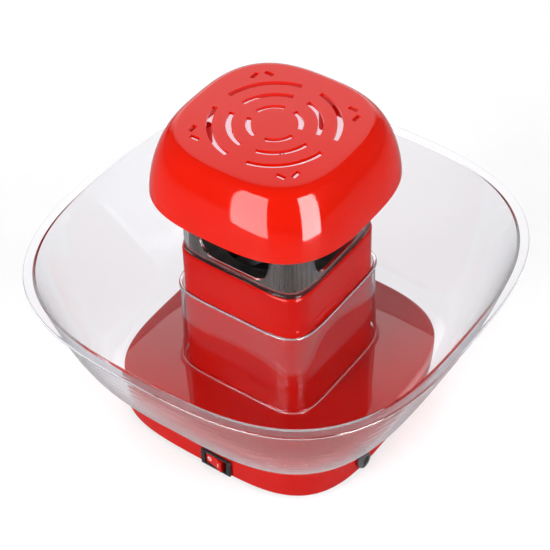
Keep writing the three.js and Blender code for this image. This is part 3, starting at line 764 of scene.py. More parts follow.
class Finish(Enum):
    """Every finish, named as the record's material slots are."""

    # This red is darker than the cover's: painted shade on the pieces under the cover.
    red_plastic = Moulded("glossy_red_plastic", tone(0.55, 0.004, 0.001), tone(0.51, 0.003, 0.001),
                          low=0.05, high=0.11, grain=260.0, depth=0.006, shine=0.16)
    black_plastic = Moulded("satin_black_plastic", tone(0.007, 0.007, 0.008), tone(0.012, 0.012, 0.013),
                            low=0.32, high=0.45, grain=1500.0, depth=0.02, shine=0.25)
    white_plastic = Moulded("satin_white_plastic", tone(0.82, 0.8, 0.75), tone(0.76, 0.74, 0.69),
                            low=0.4, high=0.55, grain=1200.0, depth=0.015)
    clear_plastic = ClearPlastic("clear_plastic", tone(0.925, 0.915, 0.94))
    dark_steel = Metal("dark_brushed_steel", tone(0.03, 0.028, 0.027), tone(0.1, 0.092, 0.085),
                       low=0.2, high=0.38, depth=0.015, tint=tone(0.075, 0.045, 0.022))
    steel = Metal("plain_steel", tone(0.46, 0.46, 0.48), tone(0.56, 0.56, 0.57), depth=0.008)
    aluminium = Metal("drawn_aluminium", tone(0.68, 0.69, 0.7), tone(0.8, 0.8, 0.81), low=0.18, high=0.36,
                      stretch=(40.0, 40.0, 1100.0), depth=0.012)
    brass = Metal("plain_brass", tone(0.58, 0.41, 0.14), tone(0.68, 0.5, 0.2), depth=0.006)
    rubber = Moulded("matt_black_rubber", tone(0.014, 0.014, 0.015), tone(0.024, 0.024, 0.025),
                     low=0.65, high=0.85, grain=2200.0, depth=0.03)
    silicone = Moulded("brick_red_silicone", tone(0.45, 0.12, 0.07), tone(0.38, 0.1, 0.055),
                       low=0.55, high=0.7, grain=1600.0, depth=0.02)
    mica = Moulded("layered_mica_board", tone(0.48, 0.34, 0.16), tone(0.33, 0.22, 0.09), drift=160.0,
                   low=0.35, high=0.7, grain=700.0, depth=0.05)
    board_green = Moulded("green_circuit_board", tone(0.03, 0.17, 0.06), tone(0.02, 0.11, 0.04),
                          drift=240.0, low=0.25, high=0.4, grain=1000.0, depth=0.02)
    lead_brown = Moulded("brown_insulation", tone(0.1, 0.035, 0.015), tone(0.12, 0.045, 0.02))
    lead_blue = Moulded("blue_insulation", tone(0.02, 0.08, 0.4), tone(0.025, 0.1, 0.46))
    lead_red = Moulded("red_insulation", tone(0.4, 0.015, 0.012), tone(0.46, 0.02, 0.015))


# The cover is the same red plastic made brighter: painted light, beside the darker red of the pieces under
# it.
RED_PAINTED_LIGHT = Moulded("bright_red_plastic", tone(0.72, 0.01, 0.0015), tone(0.69, 0.008, 0.001),
                     low=0.05, high=0.1, grain=260.0, depth=0.006, shine=0.2)
# The plate under the cover is milky and glows: painted light, an emission that stands in for light coming up
# round the chimney.
PAINTED_GLOW_PLATE = Moulded("lit_milky_plate", tone(0.78, 0.83, 0.92), tone(0.74, 0.79, 0.88), low=0.4, high=0.55,
                    grain=1200.0, depth=0.015, glow=0.75)
# The popping chamber has a dark non-stick coat.
COATED = Metal("dark_coated_aluminium", tone(0.03, 0.03, 0.031), tone(0.055, 0.054, 0.055),
               low=0.3, high=0.5, stretch=(40.0, 40.0, 1100.0), depth=0.012)
# Painted shade: near-black steel on the liner's inward and upward faces and on the plate's underside, so
# that the outlets read dark.
PAINTED_SHADE_STEEL = Metal("blackened_steel", tone(0.012, 0.011, 0.011), tone(0.03, 0.028, 0.026), low=0.4, high=0.6,
                  depth=0.02)


class Workshop:
    """What every sub-assembly builds with: the patterns and the finishes."""

    def __init__(self) -> None:
        """Starts with no finish made."""
        self.patterns = Patterns()
        self.effects = Effects()
        self.made: dict[str, bpy.types.Material] = {}
        self.replaced: set[str] = set()

    def material(self, look: Look) -> bpy.types.Material:
        """Returns a look's material, made on first use."""
        if look.name not in self.made:
            self.made[look.name] = look.build(self.effects)
        return self.made[look.name]

    def enlist(self, piece: bpy.types.Object, body: str, finish: Finish, *nodes: str,
               look: Optional[Look] = None) -> None:
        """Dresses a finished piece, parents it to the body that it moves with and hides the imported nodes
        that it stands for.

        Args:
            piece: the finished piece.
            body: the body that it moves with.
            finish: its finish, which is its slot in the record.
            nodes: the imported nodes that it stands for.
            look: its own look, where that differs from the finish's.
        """
        piece.data.materials.clear()
        piece.data.materials.append(self.material(look or finish.value))
        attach(piece, body)
        if nodes:
            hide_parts(*nodes)
            self.replaced.update(nodes)
        LOG.info("%s rides on %s, %d faces", piece.name, body, len(piece.data.polygons))

    def dress_carried_over(self) -> None:
        """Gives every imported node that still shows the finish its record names."""
        for part in frame["record"]["subparts"]:
            name = part["node"]
            if name in self.replaced:
                continue
            data = frame["nodes"][name].data
            data.materials.clear()
            data.materials.append(self.material(Finish[part["material_slot"]].value))
            LOG.info("%s keeps its packed shape", name)


@dataclass
class Assembly:
    """A sub-assembly of the popcorn maker."""

    shop: Workshop

    def build(self) -> None:
        """Builds and dresses every piece."""
        raise NotImplementedError


def numbered(stem: str, count: int) -> list[str]:
    """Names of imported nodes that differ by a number."""
    return [f"{stem}_{i + 1}" for i in range(count)]


# ------------------------------------------------------------------ fasteners

@dataclass
class Screws(Assembly):
    """Pan-head screws set in a ring, heads down, each with a cross recess."""

    stem: str
    body: str
    count: int
    distance: float
    first: float
    low: float
    neck: float
    tip: float
    head: float = 3.0
    shank: float = 1.35
    pitch: float = 1.2
    thread: float = 0.2
    recess_width: float = 0.7
    recess_depth: float = 0.75

    def build(self) -> None:
        """Builds one screw and copies it round the axis."""
        crown = [(0.0, self.low), (0.45 * self.head, self.low), (0.8 * self.head, self.low + 0.25),
                 (self.head, self.low + 0.8), (self.head, self.neck), (self.shank, self.neck)]
        turns = int((self.tip - self.neck - 1.5) / self.pitch)
        ridges = []
        for k in range(turns):
            z = self.neck + 0.4 + k * self.pitch
            ridges += [(self.shank - self.thread, z), (self.shank, z + 0.5 * self.pitch)]
        end = [(self.shank - 0.25, self.tip - 0.9), (0.0, self.tip)]
        sections = [(half, z, ROUND) for half, z in crown + ridges + end]
        screw = loft(f"{self.stem}_source", sections, 28, closed=False)
        reach = 0.62 * self.head
        height = 3.0
        middle = (0, 0, self.low + self.recess_depth - height / 2)
        bars = [block("recess", (2 * reach, self.recess_width, height), middle),
                block("recess", (self.recess_width, 2 * reach, height), middle)]
        carve(screw, bars)
        shade(screw)
        piece = self.shop.patterns.copies(f"{self.stem}s", screw, self.count, self.distance, self.first)
        self.shop.enlist(piece, self.body, Finish.steel, *numbered(self.stem, self.count))


# ------------------------------------------------------------------ base

@dataclass
class BaseUnit(Assembly):
    """Red base housing, black bottom cover with its intake slots, rubber feet and cord gland."""

    half: float = 98.9
    exponent: float = 3.7
    bottom: float = 4.0
    top: float = 39.0
    rounding: float = 5.0
    wall: float = 2.2
    hole: float = 47.0
    sheet: float = 2.0
    boss: float = 4.0
    boss_low: float = 6.3
    foot_offset: float = 56.0
    slots: int = 9
    slot_pitch: float = 8.0
    slot_width: float = 3.6
    slot_reach: float = 36.0
    switch_hole: tuple = (21.2, 12.0, 13.4)
    tower_screw_hole: float = 2.0
    foot_hole: float = 3.2
    screw_hole: float = 1.9
    wire_hole: float = 3.0
    wire_holes: tuple = ((28.0, -43.5), (43.5, -28.0))
    gland_y: float = -39.5
    gland_z: float = 13.2
    gland_hole: float = 5.0
    gland_bore: float = 3.6
    gland_neck: float = 4.6
    gland_barb: float = 6.0
    gland_head: float = 6.8
    gland_start: float = 91.5

    def build(self) -> None:
        """Builds every piece of the base."""
        self.housing()
        self.bottom_cover()
        self.feet()
        self.gland()

    def housing(self) -> None:
        """Builds the housing with its openings for the switch, the gland, the screws and the leads."""
        n = self.exponent
        inner = self.half - self.wall
        deck = self.top - self.wall
        skin = loft("base_skin", rounded_profile([
            Corner(inner, self.bottom, n), Corner(self.half, self.bottom, n, 0.8, 3),
            Corner(self.half, self.top, n, self.rounding, 9), Corner(self.hole, self.top, ROUND, 0.6, 3),
            Corner(self.hole, deck, ROUND), Corner(inner, deck, n, 2.8, 5)]), 288)
        cutters = [block("switch_hole", self.switch_hole, (SWITCH_X, -self.half, SWITCH_Z))]
        bore = rod("gland_hole", self.gland_hole, self.half - 10, self.half + 10)
        place(bore, self.gland_seat())
        cutters.append(bore)
        hole = rod("tower_screw_hole", self.tower_screw_hole, deck - 1, self.top + 1, 24)
        cutters.append(self.shop.patterns.copies("tower_screw_holes", hole, 4,
                                                 diagonal(TOWER_SCREWS), 45))
        for x, y in self.wire_holes:
            wire_hole = rod("wire_hole", self.wire_hole, deck - 1, self.top + 1, 24)
            place(wire_hole, Matrix.Translation((x * MM, y * MM, 0)))
            cutters.append(wire_hole)
        carve(skin, cutters)
        post = rod("boss", self.boss, self.boss_low, deck + 0.5, 32)
        carve(post, [rod("pilot", PILOT, 5, 22, 24)])
        bosses = self.shop.patterns.copies("bosses", post, 4, diagonal(BOTTOM_SCREWS), 45)
        carve(skin, [bosses], "UNION")
        shade(skin)
        skin.name = "base_housing_shell"
        self.shop.enlist(skin, "base", Finish.red_plastic, "base_housing")

    def bottom_cover(self) -> None:
        """Builds the bottom cover, slotted under the fan."""
        gap = 0.3
        half = self.half - self.wall - gap
        low, high, n = self.bottom, self.bottom + self.sheet, self.exponent
        sheet = loft("bottom_cover_plate", rounded_profile([
            Corner(0, low, n), Corner(half, low, n, 0.4, 3), Corner(half, high, n, 0.3, 3),
            Corner(0, high, n)], closed=False), 192, closed=False)
        patterns = self.shop.patterns
        slots = patterns.piece("intake_slots", chord_tree, Count=self.slots, Pitch=self.slot_pitch * MM,
                               Reach=self.slot_reach * MM, Width=self.slot_width * MM, Depth=8 * MM,
                               Level=low * MM)
        foot_hole = rod("foot_hole", self.foot_hole, low - 1, high + 1, 24)
        foot_holes = patterns.copies("foot_holes", foot_hole, 4, diagonal(self.foot_offset), 45)
        screw_hole = rod("screw_hole", self.screw_hole, low - 1, high + 1, 24)
        screw_holes = patterns.copies("screw_holes", screw_hole, 4, diagonal(BOTTOM_SCREWS), 45)
        carve(sheet, [slots, foot_holes, screw_holes])
        soften(sheet, 0.3)
        self.shop.enlist(sheet, "base", Finish.black_plastic, "bottom_cover")

    def feet(self) -> None:
        """Builds the four push-in feet."""
        sections = rounded_profile([
            Corner(0, 0.7), Corner(3.5, 0.7, radius=0.5), Corner(4.6, 0, radius=0.4),
            Corner(9, 0, radius=1.1), Corner(9, 3.7, radius=0.3, steps=3),
            Corner(2.8, 3.7, radius=0.2, steps=2), Corner(2.8, 6.4),
            Corner(3.8, 6.4, radius=0.3, steps=2), Corner(2, 9, radius=0.5), Corner(0, 9),
        ], closed=False)
        foot = loft("foot_source", sections, 48, closed=False)
        feet = self.shop.patterns.copies("rubber_feet", foot, 4, diagonal(self.foot_offset), 45)
        self.shop.enlist(feet, "base", Finish.rubber, *numbered("foot", 4))

    def gland_seat(self) -> Matrix:
        """Where the gland sits: turned to lie through the side wall."""
        return (Matrix.Translation((0, self.gland_y * MM, self.gland_z * MM))
                @ Matrix.Rotation(math.pi / 2, 4, "Y"))

    def gland(self) -> None:
        """Builds the cord gland in the side wall, its bore open."""
        start, barb_end = self.gland_start, self.gland_start + 3.1
        head, end = self.half + 0.1, self.half + 3
        gland = loft("cord_gland_sleeve", rounded_profile([
            Corner(self.gland_bore, start), Corner(self.gland_barb, start, radius=0.6, steps=3),
            Corner(self.gland_barb, barb_end), Corner(self.gland_neck, barb_end),
            Corner(self.gland_neck, head), Corner(self.gland_head, head, radius=0.4, steps=3),
            Corner(self.gland_barb, end, radius=0.9),
            Corner(self.gland_bore, end, radius=0.6, steps=3)]), 64)
        place(gland, self.gland_seat())
        self.shop.enlist(gland, "base", Finish.rubber, "cord_gland")


# ------------------------------------------------------------------ switch

@dataclass
class RockerSwitch(Assembly):
    """Black switch housing in the base's front wall, and its red rocker with generic marks."""

    bezel: tuple = (25.5, 2.0, 14.8)
    body: tuple = (20.4, 19.0, 12.6)
    well: tuple = (18.8, 20.0, 11.4)
    tab_slot: tuple = (1.4, 12.0, 5.4)
    tab_offset: float = 5.0
    front: float = -101.2
    pivot: float = -95.0
    tilt: float = 12.0
    reach: float = 7.6          # from the pivot to either end of the rocker
    face: float = -6.8          # height of the rocker's ends over the pivot, outwards negative
    hollow: float = 2.4         # four times the depth of the rocker's dish
    pin: float = 1.2
    mark_offset: float = 4.4

    def build(self) -> None:
        """Builds the housing, the rocker and the rocker's two marks."""
        bezel = block("switch_bezel", self.bezel, (SWITCH_X, self.front + 1, SWITCH_Z))
        carve(bezel, [block("switch_body", self.body, (SWITCH_X, -90, SWITCH_Z))], "UNION")
        carve(bezel, [block("well", self.well, (SWITCH_X, -93.5, SWITCH_Z))])
        slots = [block("tab_slot", self.tab_slot, (SWITCH_X + offset, -82, SWITCH_Z))
                 for offset in (self.tab_offset, -self.tab_offset)]
        carve(bezel, slots + [self.pin_hole()])
        soften(bezel, 0.45, 3)
        self.shop.enlist(bezel, "base", Finish.black_plastic, "switch_housing")
        self.rocker()
        self.marks()

    def pin_hole(self) -> bpy.types.Object:
        """Makes the cutter for the pivot pin's hole."""
        hole = rod("pin_hole", self.pin, SWITCH_Z - 10, SWITCH_Z + 10, 24)
        place(hole, Matrix.Translation((SWITCH_X * MM, self.pivot * MM, 0)))
        return hole

    def seat(self) -> Matrix:
        """Where the rocker sits, tipped so that its left end is in."""
        return (Matrix.Translation((SWITCH_X * MM, self.pivot * MM, SWITCH_Z * MM))
                @ Matrix.Rotation(math.radians(-self.tilt), 4, "Z"))

    def dish(self, x: float) -> float:
        """Place of the rocker's dished face at x."""
        share = (x + self.reach) / (2 * self.reach)
        return self.face + self.hollow * share * (1 - share)

    def rocker(self) -> None:
        """Builds the rocker with its dished face."""
        steps = 16
        across = [-self.reach + 2 * self.reach * i / steps for i in range(steps + 1)]
        outline = [(x, self.dish(x)) for x in across]
        outline += [(self.reach, -2), (4, 3), (-4, 3), (-self.reach, -2)]
        rocker = prism("switch_rocker_cap", outline, -5.3, 5.3)
        carve(rocker, [rod("pin_hole", self.pin, -8, 8, 24)])
        soften(rocker, 0.45, 3, 50)
        place(rocker, self.seat())
        self.shop.enlist(rocker, "rocker", Finish.red_plastic, "switch_rocker")

    def marks(self) -> None:
        """Builds the plain ring and bar on the rocker's face."""
        ring = loft("off_mark", rounded_profile([
            Corner(1.15, -0.3), Corner(1.75, -0.3), Corner(1.75, 0.12, radius=0.06, steps=2),
            Corner(1.15, 0.12, radius=0.06, steps=2)]), 48)
        bar = block("on_mark", (0.55, 3.4, 0.42), (0, 0, -0.09))
        for mark, x in ((ring, -self.mark_offset), (bar, self.mark_offset)):
            width = 2 * self.reach
            slope = math.atan(self.hollow * (1 - 2 * (x + self.reach) / width) / width)
            place(mark, self.seat() @ Matrix.Translation((x * MM, self.dish(x) * MM, 0))
                  @ Matrix.Rotation(slope, 4, "Z") @ Matrix.Rotation(math.pi / 2, 4, "X"))
            self.shop.enlist(mark, "rocker", Finish.white_plastic)


# ------------------------------------------------------------------ tower

@dataclass
class Tower(Assembly):
    """Red tower shell and the drawn popping chamber hung in its mouth."""

    half: float = 52.5
    low: float = 39.3
    top: float = 149.4
    wall: float = 2.2
    hole: float = 41.5
    collar: float = 141.3
    collar_half: float = 44.5
    leg: float = 6.0
    leg_low: float = 45.3
    leg_high: float = 66.0
    chamber_radius: float = 40.0
    chamber_bottom: float = 96.0
    chamber_rim: float = 139.2
    flange: float = 43.6
    flange_wall: float = 1.2
    ear: float = 4.6
    arm_offset: float = 33.0
    louvres: int = 12
    louvre_tilt: float = 30.0
    louvre_rise: float = 18.0

    def build(self) -> None:
        """Builds the shell and the chamber."""
        self.shell()
        self.chamber()

    def shell(self) -> None:
        """Builds the square shell with its deck, collar and screw legs."""
        n = TOWER_EXPONENT
        inner = self.half - self.wall
        skin = loft("tower_skin", rounded_profile([
            Corner(inner, self.low, n), Corner(self.half, self.low, n, 0.6, 3),
            Corner(self.half, self.top, n, 2.0, 7), Corner(self.hole, self.top, ROUND, 0.8, 4),
            Corner(self.hole, self.collar), Corner(self.collar_half, self.collar),
            Corner(self.collar_half, self.top - self.wall),
            Corner(inner, self.top - self.wall, n, 1.2, 3)]), 256)
        leg = rod("tower_leg", self.leg, self.leg_low, self.leg_high, 32)
        carve(leg, [rod("pilot", PILOT, 44, 60, 24)])
        legs = self.shop.patterns.copies("tower_legs", leg, 4, diagonal(TOWER_SCREWS), 45)
        carve(skin, [legs], "UNION")
        shade(skin)
        self.shop.enlist(skin, "base", Finish.red_plastic, "tower_shell")

    def chamber(self) -> None:
        """Builds the aluminium cup with its ring of slanted louvres and two screw ears."""
        radius, low, rim = self.chamber_radius, self.chamber_bottom, self.chamber_rim
        wall = 1
        inside = radius - wall
        under = rim - self.flange_wall
        cup = loft("popping_cup", rounded_profile([
            Corner(30, low, radius=6), Corner(radius, low + 9, radius=5), Corner(radius, under),
            Corner(self.flange, under, radius=0.3, steps=2), Corner(self.flange, rim, radius=0.3, steps=2),
            Corner(inside, rim, radius=0.8), Corner(inside, low + 9.4, radius=4.2),
            Corner(29.7, low + wall, radius=5.2)], closed=False), 144, closed=False, capped=True)
        tilt = Matrix.Rotation(math.radians(self.louvre_tilt), 4, "X")
        centre = Matrix.Translation((radius * MM, 0, (low + self.louvre_rise) * MM))
        slot = block("louvre_slot", (8, 1.6, 9), (0, 0, 0))
        place(slot, centre @ tilt)
        carve(cup, [self.shop.patterns.copies("louvre_slots", slot, self.louvres)])
        for corner in (1, -1):
            screw_at = Matrix.Translation(Vector((CHAMBER_SCREWS, CHAMBER_SCREWS, 0)) * corner * MM)
            ear = rod("ear", self.ear, under, rim, 32)
            place(ear, screw_at)
            arm = block("arm", (9, 14, self.flange_wall), (0, 0, rim - self.flange_wall / 2))
            place(arm, Matrix.Translation(Vector((self.arm_offset, self.arm_offset, 0)) * corner * MM)
                  @ Matrix.Rotation(math.radians(-45), 4, "Z"))
            carve(arm, [rod("mouth", inside + 0.5, rim - 3, rim + 3, 96)])
            hole = rod("ear_hole", 1.8, rim - 3, rim + 3, 24)
            place(hole, screw_at)
            carve(cup, [ear, arm], "UNION")
            carve(cup, [hole])
        shade(cup)
        self.shop.enlist(cup, "base", Finish.aluminium, "popping_chamber", look=COATED)


# ------------------------------------------------------------------ fan and heater

@dataclass
class Blower(Assembly):
    """The fan's impeller and the heater's wound wire."""

    radius: float = 37.0
    bottom: float = 50.0
    top: float = 66.0
    hub: float = 8.0
    hub_drop: float = 4.0
    bore: float = 1.45
    disc: float = 1.5
    blades: int = 9
    blade_half: float = 0.8     # half the thickness of a blade at its root
    blade_sweep: float = 8.8    # how far a blade's leading face curves aside at its tip
    blade_taper: float = 0.2
    coil_turns: float = 3.0
    coil_radius: float = 33.0
    coil_rise: float = 10.5
    coil_low: float = 79.5
    wire: float = 1.1

    def build(self) -> None:
        """Builds the impeller and the coil."""
        self.impeller()
        coil = self.shop.patterns.piece(
            "heater_wire", coil_tree, Turns=self.coil_turns, Radius=self.coil_radius * MM,
            Rise=self.coil_rise * MM, Wire_radius=self.wire * MM, Low=self.coil_low * MM)
        place(coil, Matrix.Rotation(math.pi, 4, "Z"))
        self.shop.enlist(coil, "base", Finish.steel, "heater_coil")

    def impeller(self) -> None:
        """Builds the disc, the hub and the ring of curved blades."""
        web = self.bottom + self.disc
        hub_top = self.top - self.hub_drop
        disc = loft("fan_wheel", rounded_profile([
            Corner(self.bore, self.bottom), Corner(self.radius, self.bottom, radius=0.5, steps=3),
            Corner(self.radius, web, radius=0.5, steps=3), Corner(self.hub, web),
            Corner(self.hub, hub_top, radius=1.2), Corner(self.bore, hub_top)]), 96)
        steps = 12
        start = self.hub - 1
        reach = self.radius - self.hub + 1
        front, back = [], []
        for i in range(steps + 1):
            share = i / steps
            x = start + reach * share
            front.append((x, -self.blade_half + self.blade_sweep * share ** 2))
            back.append((x - self.blade_half * share,
                         self.blade_half + (self.blade_sweep - self.blade_taper) * share ** 2))
        blade = prism("blade", front + back[::-1], self.bottom + 1, self.top)
        blades = self.shop.patterns.copies("blades", blade, self.blades)
        carve(disc, [blades], "UNION")
        shade(disc)
        self.shop.enlist(disc, "fan", Finish.white_plastic, "fan_impeller")


# ------------------------------------------------------------------ bowl

@dataclass
class ServingBowl(Assembly):
    """The clear bowl, square in plan, with a sleeve in its middle that drops over the tower."""

    floor_half: float = 101.0
    rim_half: float = 153.2
    outer_half: float = 159.1
    low: float = 39.3
    top: float = 138.1
    wall: float = 2.0
    flange: float = 2.0
    floor_exponent: float = 3.3
    rim_exponent: float = 2.95
    sleeve_half: float = 55.7
    sleeve_foot: float = 57.6
    sleeve_top: float = 115.7
    sleeve_wall: float = 1.8
    lip: float = 3.0
    lip_half: float = 56.7
    sleeve_exponent: float = 5.6
    steps: int = 22

    def wall_point(self, share: float, inset: float) -> Section:
        """Section of the curved wall, from the floor at share 0 to the rim at 1."""
        width = self.rim_half - self.floor_half
        height = self.top - self.flange - self.low
        slope = Vector((width, 2 * height * share)).normalized()
        exponent = self.floor_exponent + (self.rim_exponent - self.floor_exponent) * share
        return (self.floor_half + width * share - inset * slope.y,
                self.low + height * share ** 2 + inset * slope.x, exponent)

    def build(self) -> None:
        """Builds the bowl as one closed skin."""
        shares = [i / self.steps for i in range(self.steps + 1)]
        outside = [self.wall_point(share, 0) for share in shares]
        inside = [self.wall_point(share, self.wall) for share in reversed(shares[:-1])]
        n = self.rim_exponent
        rim = rounded_profile([
            Corner(self.rim_half, self.top - self.flange, n),
            Corner(self.outer_half, self.top - self.flange, n, 0.7, 4),
            Corner(self.outer_half, self.top, n, 0.9, 5),
            Corner(self.rim_half - self.wall + 0.4, self.top, n, 1.2, 5),
            Corner(*inside[0][:2], n)], closed=False)
        throat = self.sleeve_half - self.sleeve_wall
        bore = TOWER_EXPONENT - 0.3
        sleeve = rounded_profile([
            Corner(*inside[-1]),
            Corner(self.sleeve_foot, self.low + self.wall, self.sleeve_exponent, 2.5, 5),
            Corner(self.sleeve_half, self.sleeve_top - self.lip, self.sleeve_exponent, 0.4, 3),
            Corner(self.lip_half, self.sleeve_top - self.lip, self.sleeve_exponent, 0.4, 3),
            Corner(self.lip_half, self.sleeve_top, self.sleeve_exponent, 1.2, 6),
            Corner(throat, self.sleeve_top, bore, 1.2, 6),
            Corner(self.sleeve_foot - self.sleeve_wall, self.low, bore, 0.5, 3),
            Corner(*outside[0])], closed=False)
        sections = outside[:-1] + rim[:-1] + inside[:-1] + sleeve[:-1]
        bowl = loft("serving_bowl", sections, 320)
        self.shop.enlist(bowl, "bowl", Finish.clear_plastic, "bowl")


# ------------------------------------------------------------------ lid

@dataclass
class Lid(Assembly):
    """The lift-off lid: clear chimney, dark metal liner, white deflector and domed red cover."""

    chimney_half: float = 51.2
    chimney_low: float = 149.7
    chimney_top: float = 203.6
    wall: float = 2.0
    flange_half: float = 61.0
    liner_wall: float = 0.8
    skirt: float = 40.6
    plate_half: float = 73.0
    rim_half: float = 76.2
    plateau_half: float = 58.5
    rim: float = 201.0
    top: float = 247.7
    cover_wall: float = 2.5
    curve: float = 1.78
    rim_exponent: float = 3.02
    plateau_exponent: float = 2.77
    outlet_bottom: float = 155.5
    outlet_shoulder: float = 172.0
    outlet_top: float = 198.0
    outlet_halves: tuple = (14.0, 26.0, 29.0, 34.0)     # at the bottom, its bend, the shoulder, the top
    vents: int = 8
    vent_circle: float = 20.0
    slot_rings: tuple = ((45, 3.8, 10), (32.2, 3.7, 11), (19.3, 3.6, 13))   # radius, width, half bridge
    dash_length: float = 7.0
    dash_width: float = 3.3
    dash_near: float = 34.5
    dash_far: float = 41.0
    cut: float = 14.0
    boss: float = 3.4
    boss_top: float = 221.0
    rib_length: float = 16.8
    rib_height: float = 9.8

    def build(self) -> None:
        """Builds every piece of the lid."""
        self.chimney()
        self.liner()
        self.deflector()
        self.cover()

    def outlets(self, grow: float) -> list[bpy.types.Object]:
        """Makes the two U-shaped cutters that open all four walls, wider all round by grow."""
        floor, bend, side, mouth = self.outlet_halves
        bottom = self.outlet_bottom - grow
        steps = 12
        right = []
        for i in range(steps + 1):
            share = i / steps
            a, b, c = (1 - share) ** 2, 2 * share * (1 - share), share ** 2
            right.append((a * floor + b * (bend + grow) + c * (side + grow),
                          (a + b) * bottom + c * self.outlet_shoulder))
        right.append((mouth + grow, self.outlet_top))
        outline = right + [(-x, z) for x, z in reversed(right)]
        reach = 70
        cutters = []
        for turn in (0, math.pi / 2):
            cutter = prism("outlet", outline, -reach, reach)
            place(cutter, Matrix.Rotation(turn, 4, "Z") @ Matrix.Rotation(math.pi / 2, 4, "X"))
            cutters.append(cutter)
        return cutters

    def screw_holes(self, low: float, high: float) -> bpy.types.Object:
        """Makes the cutter for the four cover screws."""
        hole = rod("cover_screw_hole", 1.8, low, high, 24)
        return self.shop.patterns.copies("cover_screw_holes", hole, 4, COVER_SCREWS)

    def chimney(self) -> None:
        """Builds the clear chimney shell."""
        n = TOWER_EXPONENT
        half, low, top = self.chimney_half, self.chimney_low, self.chimney_top
        inner = half - self.wall
        shell = loft("clear_chimney", rounded_profile([
            Corner(42, low, ROUND), Corner(51.9, low, n, 0.5, 3), Corner(51.9, low + 1.4, n, 0.5, 3),
            Corner(half, low + 2, n), Corner(half, top - 2, n, 0.8, 3),
            Corner(self.flange_half, top - 2, 4.0, 0.6, 3), Corner(self.flange_half, top, 4.0, 0.6, 3),
            Corner(inner, top, n, 0.4, 2), Corner(inner, low + 2, n, 0.8, 3),
            Corner(42, low + 2, ROUND, 0.4, 2)]), 256)
        carve(shell, self.outlets(0) + [self.screw_holes(top - 5, top + 1)])
        soften(shell, 0.7, 3)
        self.shop.enlist(shell, "lid", Finish.clear_plastic, "chimney_shell")

    def liner(self) -> None:
        """Builds the dark metal liner with its round skirt."""
        n = TOWER_EXPONENT
        half = self.chimney_half - self.wall - 0.3
        low = self.chimney_low + 2.3
        skirt_low = self.chimney_low - 5.4
        high = self.chimney_top - 0.3
        t = self.liner_wall
        liner = loft("dark_liner", rounded_profile([
            Corner(self.skirt - t, skirt_low), Corner(self.skirt, skirt_low),
            Corner(self.skirt, low, ROUND, 0.4, 2), Corner(half, low, n, 1.4, 4),
            Corner(half, high, n), Corner(half - t, high, n), Corner(half - t, low + t, n, 0.9, 4),
            Corner(self.skirt - t, low + t, ROUND, 0.9, 3)]), 256)
        carve(liner, self.outlets(1.2))
        shade(liner)
        self.shop.enlist(liner, "lid", Finish.dark_steel, "chimney_liner")
        # Inward and upward faces take the near-black steel: painted shade inside the outlets.
        liner.data.materials.append(self.shop.material(PAINTED_SHADE_STEEL))
        for face in liner.data.polygons:
            inward = face.normal.x * face.center.x + face.normal.y * face.center.y < -1e-4
            face.material_index = int(inward or face.normal.z > 0.5)

    def deflector(self) -> None:
        """Builds the white plate under the cover."""
        low = self.chimney_top + 0.3
        high = low + 2
        n = 3.0
        plate = loft("inner_plate", rounded_profile([
            Corner(0, low, n), Corner(self.plate_half, low, n, 0.5, 3),
            Corner(self.plate_half, high, n, 0.5, 3), Corner(0, high, n)], closed=False), 192, closed=False)
        vent = rod("vent", 2.6, low - 1, high + 1, 24)
        vents = self.shop.patterns.copies("vents", vent, self.vents, self.vent_circle, 180 / self.vents)
        carve(plate, [vents, self.screw_holes(low - 1, high + 1)])
        soften(plate, 0.25)
        # The plate takes the milky look that glows with painted light.
        self.shop.enlist(plate, "lid", Finish.white_plastic, "inner_deflector", look=PAINTED_GLOW_PLATE)
        # The plate's underside takes the near-black steel: painted shade over the inside of the chimney.
        plate.data.materials.append(self.shop.material(PAINTED_SHADE_STEEL))
        for face in plate.data.polygons:
            face.material_index = int(face.normal.z < -0.5)

    def cover_point(self, angle: float, inset: float) -> Section:
        """Section of the cover's side, from the rim at angle 0 to the plateau at a quarter turn."""
        out = max(math.cos(angle), 0) ** (2 / self.curve)
        up = math.sin(angle) ** (2 / self.curve)
        low_half, high_half = self.rim_half - inset, self.plateau_half - 0.8 * inset
        return (high_half + (low_half - high_half) * out,
                self.rim + (self.top - inset - self.rim) * up,
                self.rim_exponent + (self.plateau_exponent - self.rim_exponent) * up)

    def cover(self) -> None:
        """Builds the domed cover and cuts its rings of slots and its corner dashes."""
        angles = [math.pi / 2 * (i / 30) ** 1.15 for i in range(31)]
        outside = [self.cover_point(angle, 0) for angle in angles]
        inside = [self.cover_point(angle, self.cover_wall) for angle in reversed(angles)]
        n = self.plateau_exponent
        ceiling = self.top - self.cover_wall
        dome = loft("domed_cover", [
            (0, ceiling, n), (self.plateau_half - 6, ceiling, n), *inside, *outside,
            (self.plateau_half - 3, self.top, n), (0, self.top, n)], 320, closed=False)
        carve(dome, self.grille())
        soften(dome, 0.4)
        self.bosses(dome)
        shade(dome, SHARP_SOFTENED)
        flatten(dome)
        # The cover takes the brighter red as painted light.
        self.shop.enlist(dome, "lid", Finish.red_plastic, "top_cover", look=RED_PAINTED_LIGHT)

    def bosses(self, dome: bpy.types.Object) -> None:
        """Adds the cover's four screw bosses, each with a rib to its wall."""
        copies = self.shop.patterns.copies
        low = self.chimney_top + 2.6
        boss = rod("cover_boss", self.boss, low, self.boss_top, 32)
        place(boss, Matrix.Translation((COVER_SCREWS * MM, 0, 0)))
        rib = block("cover_rib", (self.rib_length, 2, self.rib_height),
                    (COVER_SCREWS + self.rib_length / 2, 0, low + self.rib_height / 2))
        carve(boss, [rib], "UNION")
        carve(dome, [copies("cover_bosses", boss, 4)], "UNION")
        pilot = rod("cover_pilot", PILOT, low - 1, self.boss_top - 1, 24)
        carve(dome, [copies("cover_pilots", pilot, 4, COVER_SCREWS)])

